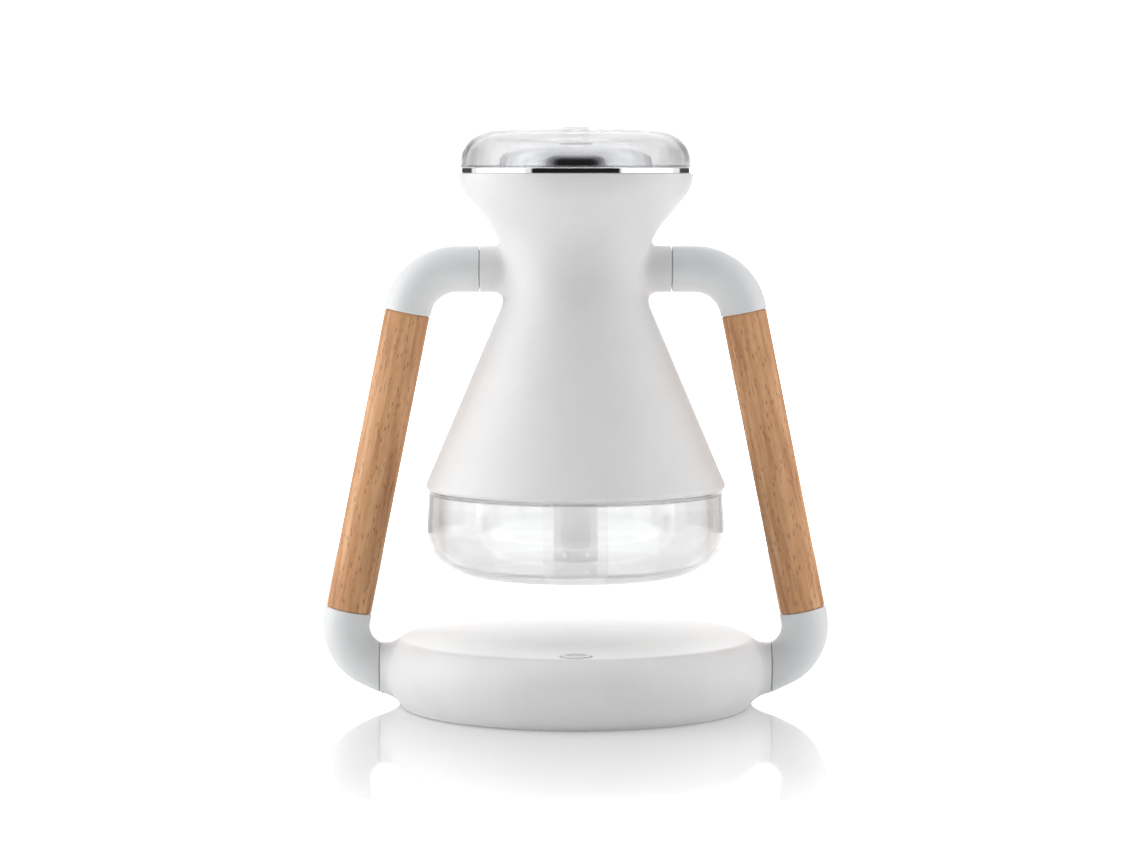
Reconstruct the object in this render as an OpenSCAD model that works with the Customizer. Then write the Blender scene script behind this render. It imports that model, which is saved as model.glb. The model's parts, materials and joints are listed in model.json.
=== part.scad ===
// Cool mist humidifier: an hourglass body with a clear water tank below it
// hangs by two bent arms with wooden grips over a round weighted base.
// +Z is up and the front looks towards -Y. The origin is on the floor, under
// the body's axis. Sizes are in millimetres.

/* [Base] */
// Widest radius of the base
base_r = 67; // [62:0.5:82]
// Height of the base's flat top above the floor
base_h = 24.4; // [22:0.1:30]
// How far the side swells out past its lower edge
base_bulge = 5.2; // [4.5:0.1:7.5]
// Radius that rounds the top edge
base_edge = 3; // [2:0.1:4]
// Wall of the base housing
base_wall = 2.2; // [1.8:0.1:2.8]
// Height of the rubber feet, which lift the base off the floor
foot_h = 0.4; // [0.3:0.1:1.6]
// Radius of a rubber foot
foot_r = 6; // [4:0.1:7]
// Thickness of the screwed cover under the base
cover_t = 2.4; // [2:0.1:3]
// Thickness of the steel ballast plate
ballast_t = 4; // [2:0.1:4.8]
// Length of the stub that stands out of the base's side
base_stub = 2.5; // [2:0.1:4]

/* [Button] */
// Radius of the button cap
button_r = 5.3; // [4:0.1:6.5]
// Distance of the button in front of the body's axis
button_y = 52.5; // [46:0.1:53]
// Travel of the button
button_travel = 0.6; // [0.4:0.1:0.8]

/* [Arms] */
// Outer diameter of the bent arm tubes
arm_d = 16.6; // [15:0.1:20]
// Diameter of the wooden grips
grip_d = 16; // [14.5:0.1:16.6]
// Bend radius of the upper elbow, along its middle line
top_bend_r = 17.6; // [15:0.1:22]
// Bend radius of the lower elbow, along its middle line
low_bend_r = 14.4; // [13:0.1:18]
// Distance of the upper bend's centre from the body's axis
top_bend_x = 42; // [39:0.5:50]
// Slope of the lower elbow where it meets the base
stub_slope = 25; // [20:1:28]
// Distance of the seam between body and upper elbow from the axis
arm_seam_x = 33.8; // [32:0.1:37]
// Wall of the elbows
elbow_wall = 1.7; // [1.4:0.1:2.2]
// Diameter of the steel core tube inside a grip
core_d = 10; // [8:0.1:11]
// Wall of the core tube
core_wall = 1; // [0.8:0.1:1.5]
// Depth to which the core tube enters each elbow
core_insert = 8; // [6:0.1:9]

/* [Body] */
// Gap between the base's top and the tank's bottom
tank_gap = 22.6; // [16:0.1:30]
// Height of the arms' upper axis above the body's lower rim
rim_to_arm = 78.1; // [70:0.1:95]
// Radius of the cone where it reaches the lower rim
rim_r = 53.9; // [50:0.1:60]
// Radius at which cone and funnel would meet in a sharp waist
waist_r = 19.6; // [18:0.1:23]
// Height of that sharp waist above the arms' axis
waist_up = 2.6; // [0:0.1:5]
// Radius that rounds the waist
waist_round = 28; // [22:0.5:34]
// Radius of the body's top
top_r = 41.6; // [40:0.1:48]
// Height of the funnel, from the arms' axis to its shoulder
funnel_h = 28.8; // [27:0.1:36]
// Radius that rounds the shoulder
shoulder_round = 13; // [9:0.1:15]
// Radius that rounds the lower rim
rim_round = 1.5; // [1:0.1:2]
// Wall of the body shell
body_wall = 2.2; // [1.8:0.1:2.8]

/* [Tank] */
// Visible height of the tank
tank_h = 29.6; // [25:0.1:40]
// How far the tank's side stays inside the cone's lower radius
tank_inset = 0.5; // [0:0.1:2]
// Radius between the tank's side and its bottom
tank_round = 16.5; // [12:0.1:20]
// Draft of the tank's side
tank_draft = 3.4; // [1:0.1:5]
// Wall of the tank
tank_wall = 2.2; // [1.8:0.1:2.8]
// Height of the tank's neck, inside the body's rim
neck_h = 5.9; // [5:0.1:7]
// How far the tank's neck stays inside the cone's lower radius
neck_inset = 5.6; // [5:0.1:7]
// Number of lugs inside the neck
lug_count = 4; // [2:1:6]
// Turn that locks the tank
lock_turn = 22; // [15:1:30]

/* [Mist unit] */
// Outer diameter of the wick tube
wick_tube_d = 15.6; // [13:0.1:17]
// Space between the wick and its tube
wick_gap = 0.9; // [0.6:0.1:1.4]
// Diameter of the wick
wick_d = 9.4; // [7:0.1:10]
// Clearance between the wick foot and the tank's floor
wick_lift = 1; // [0.6:0.1:3]
// Diameter of the piezo disc
piezo_d = 16; // [14:0.1:17]
// Thickness of the piezo disc
piezo_t = 0.8; // [0.6:0.1:1]

/* [Dome] */
// Height of the chrome trim ring above the body
trim_h = 2.1; // [1.6:0.1:3]
// How far the trim ring stays inside the body's top radius
trim_inset = 0.85; // [0:0.05:1.6]
// Height of the dome cover above the trim ring
dome_h = 14.4; // [12.5:0.1:20]
// How far the dome cover stays inside the body's top radius
dome_inset = 0.6; // [0:0.05:1.6]
// Radius of the dome cover's shoulder
dome_round = 12.6; // [9:0.1:12.8]
// Wall of the dome cover
dome_wall = 2.3; // [1.8:0.1:2.8]
// Radius of the mist outlet
outlet_r = 4.5; // [3.5:0.1:6]
// Radius of the chrome reflector under the dome
reflector_r = 27.3; // [24:0.1:28]
// Radius of the reflector's edge
reflector_edge = 6; // [4:0.1:7]

/* [Fits] */
// Radial clearance of parts that plug into each other
fit = 0.05; // [0.03:0.01:0.1]
// Clearance between parts that move past each other
slip = 0.3; // [0.2:0.05:0.4]
// Width of the open seams at the arms
seam = 0.3; // [0.2:0.05:0.5]

/* [Hidden] */
$fn = 96;
// Facets of the children of a hull
HULL_FN = 40;
// Extra length of a cutting shape past the solid it cuts
CUT = 1;

// Heights
tank_z = base_h + tank_gap;
rim_z = tank_z + tank_h + slip;
arm_z = rim_z + rim_to_arm;

// Base side: an arc that swells by base_bulge over half its height
side_half = (base_h - foot_h) / 2;
side_z = foot_h + side_half;
side_r = (side_half * side_half + base_bulge * base_bulge) / (2 * base_bulge);
side_x = base_r - side_r;
floor_z = foot_h + cover_t;
ceiling_z = base_h - base_wall;
cover_r = base_r - base_bulge - 3.6;
boss_r = 3.4;
boss_pitch = cover_r - foot_r - boss_r - 3;
ballast_r = boss_pitch - boss_r - slip;
screw_r = 1.15;
pilot_r = screw_r + fit;
head_r = 2.5;
head_h = 1.2;
screw_l = 10;

// Control board, at the back of the base
board_t = 1.6;
board_w = 44;
board_front = -12;
board_z = floor_z + ballast_t + 1.85;
board_top = board_z + board_t;
board_post_x = board_w / 2 - 4;
board_post_r = 2.2;
usb_w = 9;
usb_h = 3.2;
usb_d = 7.4;
usb_mouth = base_r - 1.6;
board_back = usb_mouth - usb_d;
board_post_ys = [board_front + 4, board_back - 6];
board_wall_r = side_x + side_r - base_wall - 1;
board_shoulder = sqrt(pow(board_wall_r, 2) - pow(board_w / 2, 2)) - 2;
board_tongue_w = 14;

// Button stack, from the top down
cap_top = base_h + 0.3;
flange_top = ceiling_z - 0.1;
flange_t = 1.2;
flange_r = button_r + 1.2;
plunger_r = 1.7;
plunger_top = flange_top - flange_t - 0.6;
// The plunger stands clear of the switch by its travel and a little more
switch_top = plunger_top - button_travel - 0.8;
switch_h = 3.5;
button_board_top = switch_top - switch_h;
button_board_z = button_board_top - board_t;
button_post_x = 9;
button_post_r = 2;
ribbon_t = 1;
ribbon_w = 6;

// Arms. The straight grip is the common tangent of the two bends.
arm_r = arm_d / 2;
grip_r = grip_d / 2;
core_r = core_d / 2;
spigot_r = arm_r - elbow_wall;
spigot_l = 6;
channel_r = 3.6;
lead_r = 1.2;
top_neck = 1.2;
low_neck = 3;
// A straight stretch is a little thinner than the bend that it runs into
lap = 0.4;
lap_step = 0.02;
base_seam_x = base_r + base_stub;
stub_turn = 90 - stub_slope;
// The bend's end stays clear of the seam
seam_spare = 0.08;
low_bend_x = base_seam_x + seam + seam_spare + arm_r * sin(stub_slope)
    - low_bend_r * cos(stub_turn);
stub_axis_z = side_z + 0.6;
low_bend_z = stub_axis_z + low_bend_r * sin(stub_turn)
    + (low_bend_x + low_bend_r * cos(stub_turn) - base_seam_x) * tan(stub_slope);
top_bend = [top_bend_x, arm_z - top_bend_r];
low_bend = [low_bend_x, low_bend_z];
bend_span = norm(top_bend - low_bend);
lean = atan((low_bend_x - top_bend_x) / (top_bend.y - low_bend_z))
    - asin((top_bend_r - low_bend_r) / bend_span);
straight_l = sqrt(pow(bend_span, 2) - pow(top_bend_r - low_bend_r, 2));
grip_foot = low_bend + low_bend_r * [cos(lean), sin(lean)];
grip_l = straight_l - top_neck - low_neck;
slant_start = low_bend + low_bend_r * [cos(stub_turn), -sin(stub_turn)];
// Length of the slanted axis from the end of the bend to the base's seam
slant_l = (slant_start.x - base_seam_x) / cos(stub_slope);

// Leads. Each one leaves the control board level, bends up into its arm,
// runs along the arm's middle and turns up beside the wick tube.
lead_board_z = board_top + lead_r;
lead_bend_r = 10;
lead_corner_x = slant_start.x - (slant_start.y - lead_board_z) / tan(stub_slope);
lead_tangent = lead_bend_r * tan(stub_slope / 2);
lead_x = 18;
lead_turn_r = 5;
lead_hole_r = lead_r + 0.6;

// Body outline. a is the cone's lean, b the funnel's.
waist_z = arm_z + waist_up;
shoulder_z = arm_z + funnel_h;
cone_lean = atan((rim_r - waist_r) / (waist_z - rim_z));
funnel_lean = atan((top_r - waist_r) / (shoulder_z - waist_z));
waist_half = (180 - cone_lean - funnel_lean) / 2;
waist_reach = waist_round / sin(waist_half);
waist_c = [waist_r, waist_z]
    + waist_reach * [sin(funnel_lean + waist_half), cos(funnel_lean + waist_half)];
shoulder_c = [top_r - shoulder_round, shoulder_z + shoulder_round * tan(funnel_lean / 2)];
body_top = shoulder_c.y + 0.1;

// Mist unit, stacked on a ledge above the arms
core_ledge_z = arm_z + arm_r + 1.7;
core_ledge_t = 2.4;
core_ledge_r = 14.5;
holder_z = core_ledge_z + core_ledge_t;
holder_t = 2.5;
holder_top = holder_z + holder_t;
wick_tube_r = wick_tube_d / 2;
wick_r = wick_d / 2;
wick_bore_r = wick_r + wick_gap;
foot_z = tank_z + tank_wall + wick_lift;
wick_foot_h = 5;
wick_foot_plug = 4;
spring_h = 5;
seal_h = 3.5;
piezo_z = holder_top + 1.3;
piezo_r = piezo_d / 2;
piezo_seal_r = piezo_r + 2;
cup_r = piezo_seal_r + 2.4;
clamp_t = 1.5;
clamp_top = holder_top + seal_h + 2.1;
core_screw_pitch = 17.5;
core_screw_l = 4.4;

// Tank plate, under a second ledge
tank_r = rim_r - tank_inset;
neck_r = rim_r - neck_inset;
seal_t = 1.4;
tank_neck_top = rim_z - slip + neck_h;
plate_z = tank_neck_top + seal_t + 0.1;
plate_t = 2;
plate_top = plate_z + plate_t;
neck_bore_r = neck_r - 2;
skirt_r = neck_bore_r - 0.4;
skirt_wall = 2.6;
skirt_low = rim_z + 0.7;
lug_t = 1.1;
lug_h = 1.5;
lug_z = rim_z + 2.3;
lug_arc = 10;
slot_arc = lug_arc + 4;
plate_screw_pitch = skirt_r - skirt_wall - head_r - 0.3;
plate_ledge_r = plate_screw_pitch - 3.5;
plate_ledge_t = 2.4;

// Lamp deck and dome
trim_r = top_r - trim_inset;
dome_r = top_r - dome_inset;
trim_top = body_top + trim_h;
trim_bore_r = trim_r - 3.1;
deck_t = 2;
deck_z = body_top - 5.1;
deck_top = deck_z + deck_t;
deck_screw_pitch = top_r - 6.6;
deck_ledge_r = deck_screw_pitch - 3;
deck_ledge_t = 1.8;
lamp_board_r = deck_screw_pitch - head_r - 0.3;
lamp_board_bore_r = 12;
lamp_board_top = deck_top + 1.4;
led_pitch = (lamp_board_r + reflector_r) / 2;
led_w = 2;
led_count = 12;
pipe_r = outlet_r + 1.4;
reflector_top = trim_top + dome_h - dome_wall - 2.5;
reflector_t = 1.3;
dome_top = trim_top + dome_h;
dome_sill = 1.5;
dome_spigot_l = 2.9;

// ---- Helpers ----

// Points along an arc, from angle a0 to a1, in n steps
function arc(c, r, a0, a1, n) =
    [for (i = [0:n]) c + r * [cos(a0 + (a1 - a0) * i / n), sin(a0 + (a1 - a0) * i / n)]];

// Points in the opposite order
function back(points) = [for (i = [len(points) - 1:-1:0]) points[i]];

module spin(points) rotate_extrude() polygon(points);

module disc(r, z0, z1) translate([0, 0, z0]) cylinder(r = r, h = z1 - z0);

module ring(r_out, r_in, z0, z1) {
    difference() {
        disc(r_out, z0, z1);
        disc(r_in, z0 - CUT, z1 + CUT);
    }
}

module arc_block(r0, r1, z0, z1, a0, turn) {
    rotate([0, 0, a0])
        translate([0, 0, z0])
            rotate_extrude(angle = turn)
                translate([r0, 0])
                    square([r1 - r0, z1 - z0]);
}

module around(n, r, first = 0) {
    for (i = [0:n - 1])
        rotate([0, 0, first + 360 * i / n])
            translate([r, 0, 0])
                children();
}

module along_x(r, x0, x1, z) {
    translate([x0, 0, z])
        rotate([0, 90, 0])
            cylinder(r = r, h = x1 - x0);
}

module block(x0, x1, y0, y1, z0, z1) translate([x0, y0, z0]) cube([x1 - x0, y1 - y0, z1 - z0]);

// The right-hand piece, or its mirror image on the left
module on_side(side) {
    if (side > 0)
        children();
    else
        mirror([1, 0, 0]) children();
}

// A bent tube in the X-Z plane around centre c, from angle a0 to a1
module bend(c, r_path, r_tube, a0, a1) {
    translate([c.x, 0, c.y])
        rotate([90, 0, 0])
            rotate([0, 0, a0])
                rotate_extrude(angle = a1 - a0)
                    translate([r_path, 0])
                        circle(r = r_tube);
}

// Children stand on the right grip's axis, t above its foot
module on_grip(t) {
    translate([grip_foot.x, 0, grip_foot.y])
        rotate([0, -lean, 0])
            translate([0, 0, t])
                children();
}

// Children point down the slanted end of the right arm, t past the bend
module on_slant(t) {
    translate([slant_start.x, 0, slant_start.y])
        rotate([0, -(90 + stub_slope), 0])
            translate([0, 0, t])
                children();
}

module screw(r, h_head, length) {
    cylinder(r = r, h = h_head);
    translate([0, 0, h_head]) cylinder(r = screw_r, h = length);
}

// ---- Outlines ----

// Body outline at distance w inside the outer surface, from height z0 up
function cone_r(z, w) = waist_r + (waist_z - z) * tan(cone_lean) - w / cos(cone_lean);
function body_line(z0, w) = concat(
    [[cone_r(z0, w), z0]],
    arc(waist_c, waist_round + w, 180 + cone_lean, 180 - funnel_lean, 16),
    arc(shoulder_c, shoulder_round - w, -funnel_lean, 0, 10)
);

// Radius of the body at height z, at distance w inside its outer surface
function body_r(z, w) =
    z < waist_c.y - (waist_round + w) * sin(cone_lean) ? cone_r(z, w)
    : z < waist_c.y + (waist_round + w) * sin(funnel_lean)
        ? waist_c.x - sqrt(pow(waist_round + w, 2) - pow(z - waist_c.y, 2))
    : z < shoulder_c.y - (shoulder_round - w) * sin(funnel_lean)
        ? waist_r + (z - waist_z) * tan(funnel_lean) - w / cos(funnel_lean)
    : shoulder_c.x + sqrt(pow(shoulder_round - w, 2) - pow(min(0, z - shoulder_c.y), 2));

// ---- Base ----

module base_outline() {
    edge_c = [side_x + sqrt(pow(side_r - base_edge, 2) - pow(base_h - base_edge - side_z, 2)),
              base_h - base_edge];
    edge_turn = atan((edge_c.y - side_z) / (edge_c.x - side_x));
    low_turn = asin((foot_h - side_z) / side_r);
    spin(concat(
        [[0, foot_h]],
        arc([side_x, side_z], side_r, low_turn, edge_turn, 20),
        arc(edge_c, base_edge, edge_turn, 90, 5),
        [[0, base_h]]
    ));
}

module base_hollow() {
    low_turn = asin((floor_z - side_z) / (side_r - base_wall));
    high_turn = asin((ceiling_z - side_z) / (side_r - base_wall));
    spin(concat(
        [[0, foot_h - CUT], [cover_r + slip, foot_h - CUT], [cover_r + slip, floor_z]],
        arc([side_x, side_z], side_r - base_wall, low_turn, high_turn, 16),
        [[0, ceiling_z]]
    ));
}

// The stub runs from the slanted seam into the base's side
module base_stub_solid() {
    hull() {
        translate([base_seam_x - 0.02, 0, stub_axis_z])
            rotate([0, 90, 0])
                scale([1 / cos(stub_slope), 1, 1])
                    cylinder(r = arm_r, h = 0.02, $fn = HULL_FN);
        translate([side_x + 4, 0, side_z])
            rotate([0, 90, 0])
                scale([(side_half - 0.8) / (arm_r + 4), 1, 1])
                    cylinder(r = arm_r + 4, h = 0.02, $fn = HULL_FN);
    }
}

module usb_opening(width, height, y0, y1) {
    r = height / 2;
    flat = width / 2 - r;
    translate([0, y1, board_top + usb_h / 2])
        rotate([90, 0, 0])
            linear_extrude(y1 - y0)
                polygon(concat(arc([flat, 0], r, -90, 90, 10), arc([-flat, 0], r, 90, 270, 10)));
}

module base_housing() color("white") {
    difference() {
        union() {
            base_outline();
            for (side = [-1, 1]) on_side(side) base_stub_solid();
        }
        base_hollow();
        for (side = [-1, 1])
            on_side(side) on_slant(-CUT) cylinder(r = spigot_r + fit, h = 20);
        translate([0, -button_y, 0]) disc(button_r + slip, ceiling_z - CUT, base_h + CUT);
        usb_opening(usb_w + 0.6, usb_h + 0.6, board_back, base_r + CUT);
    }
    around(4, boss_pitch, 45) difference() {
        disc(boss_r, floor_z, ceiling_z + 0.2);
        disc(pilot_r, floor_z - CUT, floor_z + screw_l);
    }
    for (x = [-button_post_x, button_post_x])
        translate([x, -button_y, 0]) difference() {
            disc(button_post_r, button_board_top, ceiling_z + 0.2);
            disc(pilot_r, button_board_top - CUT, button_board_top + 4);
        }
}

module base_cover() color("white") {
    difference() {
        union() {
            disc(cover_r, foot_h, floor_z);
            for (y = board_post_ys)
                for (x = [-board_post_x, board_post_x])
                    translate([x, y, 0]) disc(board_post_r, floor_z - 0.2, board_z);
        }
        around(4, boss_pitch, 45) {
            disc(pilot_r + 0.2, foot_h - CUT, floor_z + CUT);
            disc(head_r + 0.3, foot_h - CUT, foot_h + head_h + 0.1);
        }
        for (y = board_post_ys)
            for (x = [-board_post_x, board_post_x])
                translate([x, y, 0]) disc(pilot_r, floor_z, board_z + CUT);
    }
}

module base_feet() color("dimgray")
    around(4, cover_r - foot_r - 1, 0) disc(foot_r, 0, foot_h);

module base_screws() color("silver")
    around(4, boss_pitch, 45)
        translate([0, 0, foot_h + 0.1]) screw(head_r, head_h, screw_l);

module ballast_plate() color("dimgray") {
    difference() {
        disc(ballast_r, floor_z, floor_z + ballast_t);
        for (y = board_post_ys)
            for (x = [-board_post_x, board_post_x])
                translate([x, y, 0]) disc(board_post_r + slip, floor_z - CUT, board_z);
    }
}

// ---- Electronics ----

module control_board() color("green") {
    difference() {
        union() {
            block(-board_w / 2, board_w / 2, board_front, board_shoulder, board_z, board_top);
            block(-board_tongue_w / 2, board_tongue_w / 2, board_shoulder - 1,
                  board_wall_r - 1.5, board_z, board_top);
        }
        for (y = board_post_ys)
            for (x = [-board_post_x, board_post_x])
                translate([x, y, 0]) disc(pilot_r + 0.2, board_z - CUT, board_top + CUT);
    }
}

module board_screws() color("silver") {
    for (y = board_post_ys)
        for (x = [-board_post_x, board_post_x])
            translate([x, y, board_top + head_h])
                rotate([180, 0, 0]) screw(head_r - 0.5, head_h, board_t + 1.7);
    for (x = [-button_post_x, button_post_x])
        translate([x, -button_y, button_board_z - head_h])
            screw(head_r - 0.5, head_h, board_t + 3);
}

// Inductor, capacitor, driver chip and the ribbon's socket
module board_components() color("dimgray") {
    translate([-9, 14, 0]) disc(5, board_top, board_top + 6);
    translate([9, 16, 0]) disc(4, board_top, board_top + 8);
    block(-5, 5, 28, 38, board_top, board_top + 1.6);
    block(-4, 4, board_front + 0.5, board_front + 5.5, board_top, button_board_z - ribbon_t);
}

module usb_socket() color("silver") {
    difference() {
        usb_opening(usb_w, usb_h, board_back, usb_mouth);
        usb_opening(usb_w - 0.7, usb_h - 0.7, board_back + 1, usb_mouth + CUT);
        block(-5, 5, board_back - CUT, board_back + 0.5, board_z, board_top + usb_h / 2);
    }
    usb_opening(6.4, 0.8, board_back + 0.9, usb_mouth - 1);
}

module button_board() color("green") {
    difference() {
        block(-12, 12, -button_y - 6, -button_y + 8, button_board_z, button_board_top);
        for (x = [-button_post_x, button_post_x])
            translate([x, -button_y, 0])
                disc(pilot_r + 0.2, button_board_z - CUT, button_board_top + CUT);
    }
}

module button_switch() color("dimgray") {
    difference() {
        block(-3, 3, -button_y - 3, -button_y + 3, button_board_top, switch_top);
        translate([0, -button_y, 0]) disc(plunger_r + 0.1, switch_top - 1.2, switch_top + CUT);
    }
}

module button_ribbon() color("lightgray")
    block(-ribbon_w / 2, ribbon_w / 2, -button_y + 4, board_front + 4,
          button_board_z - ribbon_t, button_board_z);

module switch_plunger() color("black")
    translate([0, -button_y, 0]) disc(plunger_r, switch_top - 0.5, plunger_top);

module button_cap() color("gainsboro") {
    dish_r = 42;
    translate([0, -button_y, 0]) {
        difference() {
            disc(button_r, flange_top - CUT, cap_top);
            translate([0, 0, cap_top + dish_r - 0.35]) sphere(r = dish_r);
        }
        disc(flange_r, flange_top - flange_t, flange_top);
        disc(plunger_r + 0.6, plunger_top, flange_top - flange_t);
    }
}

// ---- Arms ----

module lower_elbow(side) color("whitesmoke") on_side(side) {
    difference() {
        union() {
            bend(low_bend, low_bend_r, arm_r, -stub_turn, lean);
            on_grip(-lap) cylinder(r = arm_r - lap_step, h = low_neck + lap);
            difference() {
                on_slant(-lap) cylinder(r = arm_r - lap_step, h = 2 * arm_r);
                block(base_seam_x + seam - 50, base_seam_x + seam, -25, 25, -25, 60);
            }
            on_slant(0.5) cylinder(r = spigot_r, h = slant_l + spigot_l - 0.5);
        }
        on_slant(-lap) cylinder(r = channel_r - lap_step, h = slant_l + spigot_l + CUT);
        bend(low_bend, low_bend_r, channel_r, -stub_turn, lean);
        on_grip(low_neck - core_insert) cylinder(r = core_r + fit, h = core_insert + CUT);
    }
}

module lower_elbow_left() lower_elbow(-1);
module lower_elbow_right() lower_elbow(1);

module grip(side) color("burlywood") on_side(side) {
    difference() {
        on_grip(low_neck) cylinder(r = grip_r, h = grip_l);
        on_grip(low_neck - CUT) cylinder(r = core_r + fit, h = grip_l + 2 * CUT);
    }
}

module grip_left() grip(-1);
module grip_right() grip(1);

module core_tube(side) color("silver") on_side(side) {
    difference() {
        on_grip(low_neck - core_insert) cylinder(r = core_r, h = grip_l + 2 * core_insert);
        on_grip(low_neck - core_insert - CUT)
            cylinder(r = core_r - core_wall, h = grip_l + 2 * core_insert + 2 * CUT);
    }
}

module core_tube_left() core_tube(-1);
module core_tube_right() core_tube(1);

module upper_elbow(side) color("whitesmoke") on_side(side) {
    difference() {
        union() {
            along_x(spigot_r, arm_seam_x - spigot_l, arm_seam_x + seam, arm_z);
            along_x(arm_r - lap_step, arm_seam_x + seam, top_bend_x + lap, arm_z);
            bend(top_bend, top_bend_r, arm_r, lean, 90);
            on_grip(straight_l - top_neck) cylinder(r = arm_r - lap_step, h = top_neck + lap);
        }
        along_x(channel_r - lap_step, arm_seam_x - spigot_l - CUT, top_bend_x + lap, arm_z);
        bend(top_bend, top_bend_r, channel_r, lean, 90);
        on_grip(straight_l - top_neck - CUT) cylinder(r = core_r + fit, h = core_insert + CUT);
    }
}

module upper_elbow_left() upper_elbow(-1);
module upper_elbow_right() upper_elbow(1);

// A lead from the control board, through an arm and up to height z1
module lead(side, z1) on_side(side) {
    slant_in = (slant_start.x - lead_corner_x) / cos(stub_slope) - lead_tangent;
    level_x = lead_corner_x - lead_tangent;
    straight_r = lead_r - lap_step;
    along_x(straight_r, board_w / 2 - 1.5, level_x + lap, lead_board_z);
    bend([level_x, lead_board_z + lead_bend_r], lead_bend_r, lead_r, -90, -stub_turn);
    on_slant(-lap) cylinder(r = straight_r, h = slant_in + 2 * lap);
    bend(low_bend, low_bend_r, lead_r, -stub_turn, lean);
    on_grip(-lap) cylinder(r = straight_r, h = straight_l + 2 * lap);
    bend(top_bend, top_bend_r, lead_r, lean, 90);
    along_x(straight_r, lead_x + lead_turn_r - lap, top_bend_x + lap, arm_z);
    bend([lead_x + lead_turn_r, arm_z + lead_turn_r], lead_turn_r, lead_r, 180, 270);
    translate([lead_x, 0, 0]) disc(straight_r, arm_z + lead_turn_r - lap, z1);
}

module mist_lead() color("dimgray") lead(1, holder_top);
module lamp_lead() color("dimgray") lead(-1, deck_top);

// ---- Body ----

// A ledge inside the body, from radius r0 into the wall
module ledge(r0, z0, z1) {
    difference() {
        spin([[r0, z0], [body_r(z0, body_wall / 2), z0],
              [body_r(z1, body_wall / 2), z1], [r0, z1]]);
        children();
    }
}

module body_shell() color("white") {
    rim_c = [cone_r(rim_z + rim_round, rim_round), rim_z + rim_round];
    difference() {
        union() {
            spin(concat(
                [[0, rim_z]],
                arc(rim_c, rim_round, -90, cone_lean, 5),
                body_line(rim_z + 2 * rim_round, 0),
                [[shoulder_c.x + shoulder_round, body_top], [0, body_top]]
            ));
            along_x(arm_r, -arm_seam_x, arm_seam_x, arm_z);
        }
        spin(concat(
            [[0, rim_z - CUT]],
            body_line(rim_z - CUT, body_wall),
            [[shoulder_c.x + shoulder_round - body_wall, body_top + CUT], [0, body_top + CUT]]
        ));
        along_x(spigot_r + fit, -arm_seam_x - CUT, arm_seam_x + CUT, arm_z);
    }
    ledge(plate_ledge_r, plate_top, plate_top + plate_ledge_t)
        around(3, plate_screw_pitch, 90) disc(pilot_r, plate_top - CUT, plate_top + 5);
    ledge(core_ledge_r, core_ledge_z, holder_z) {
        around(3, core_screw_pitch, 90) disc(pilot_r, core_ledge_z - CUT, holder_z + CUT);
        around(2, lead_x) disc(lead_hole_r, core_ledge_z - CUT, holder_z + CUT);
    }
    ledge(deck_ledge_r, deck_z - deck_ledge_t, deck_z)
        around(3, deck_screw_pitch, 90) disc(pilot_r, deck_z - 5, deck_z + CUT);
}

// The skirt's outer face has one entry slot and one locking slot for each lug
module tank_plate() color("white") {
    plate_r = body_r(plate_top, body_wall) - slip;
    difference() {
        union() {
            disc(plate_r, plate_z, plate_top);
            ring(skirt_r, skirt_r - skirt_wall, skirt_low, plate_z + 0.2);
        }
        disc(wick_tube_r + 0.2, plate_z - CUT, plate_top + CUT);
        around(3, plate_screw_pitch, 90) disc(pilot_r + 0.2, plate_z - CUT, plate_top + CUT);
        for (i = [0:lug_count - 1]) {
            lug_a = 35 + 360 * i / lug_count;
            arc_block(skirt_r - lug_t, skirt_r + CUT, skirt_low - CUT, lug_z + lug_h + slip,
                      lug_a - slot_arc / 2, slot_arc);
            arc_block(skirt_r - lug_t, skirt_r + CUT, lug_z - slip, lug_z + lug_h + slip,
                      lug_a + slot_arc / 2 - 2, lock_turn + 2);
        }
    }
}

module plate_screws() color("silver")
    around(3, plate_screw_pitch, 90)
        translate([0, 0, plate_z - head_h]) screw(head_r - 0.5, head_h, plate_t + 2);

// ---- Mist unit ----

module mist_holder() color("whitesmoke") {
    difference() {
        union() {
            disc(body_r(holder_z, body_wall) - 0.6, holder_z, holder_top);
            disc(cup_r, holder_top - 0.2, holder_top + seal_h);
            disc(wick_tube_r + 2.2, arm_z + 3, holder_z + 0.2);
        }
        disc(wick_tube_r + fit, arm_z + 3 - CUT, holder_z);
        disc(wick_r + 0.4, holder_z - CUT, holder_top + CUT);
        disc(piezo_seal_r + fit, holder_top, holder_top + seal_h + CUT);
        around(3, core_screw_pitch, 90) disc(pilot_r + 0.2, holder_z - CUT, holder_top + CUT);
        around(2, lead_x) disc(lead_hole_r, holder_z - CUT, holder_top + CUT);
    }
}

module holder_screws() color("silver")
    around(3, core_screw_pitch, 90)
        translate([0, 0, holder_top + clamp_t + head_h])
            rotate([180, 0, 0]) screw(head_r - 0.5, head_h, clamp_t + core_screw_l);

module wick_tube() color("lightgray")
    ring(wick_tube_r, wick_bore_r, foot_z + wick_foot_h, holder_z - fit);

// The foot closes the tube's lower end and lets water in through six holes
module wick_foot() color("gainsboro") {
    difference() {
        union() {
            disc(wick_tube_r, foot_z, foot_z + wick_foot_h);
            disc(wick_bore_r - fit, foot_z, foot_z + wick_foot_h + wick_foot_plug);
        }
        disc(wick_r + 0.3, foot_z + 1.5, foot_z + wick_foot_h + wick_foot_plug + CUT);
        for (i = [0:5])
            rotate([0, 0, 60 * i])
                along_x(1.1, 0, wick_tube_r + CUT, foot_z + 3);
    }
}

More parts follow.
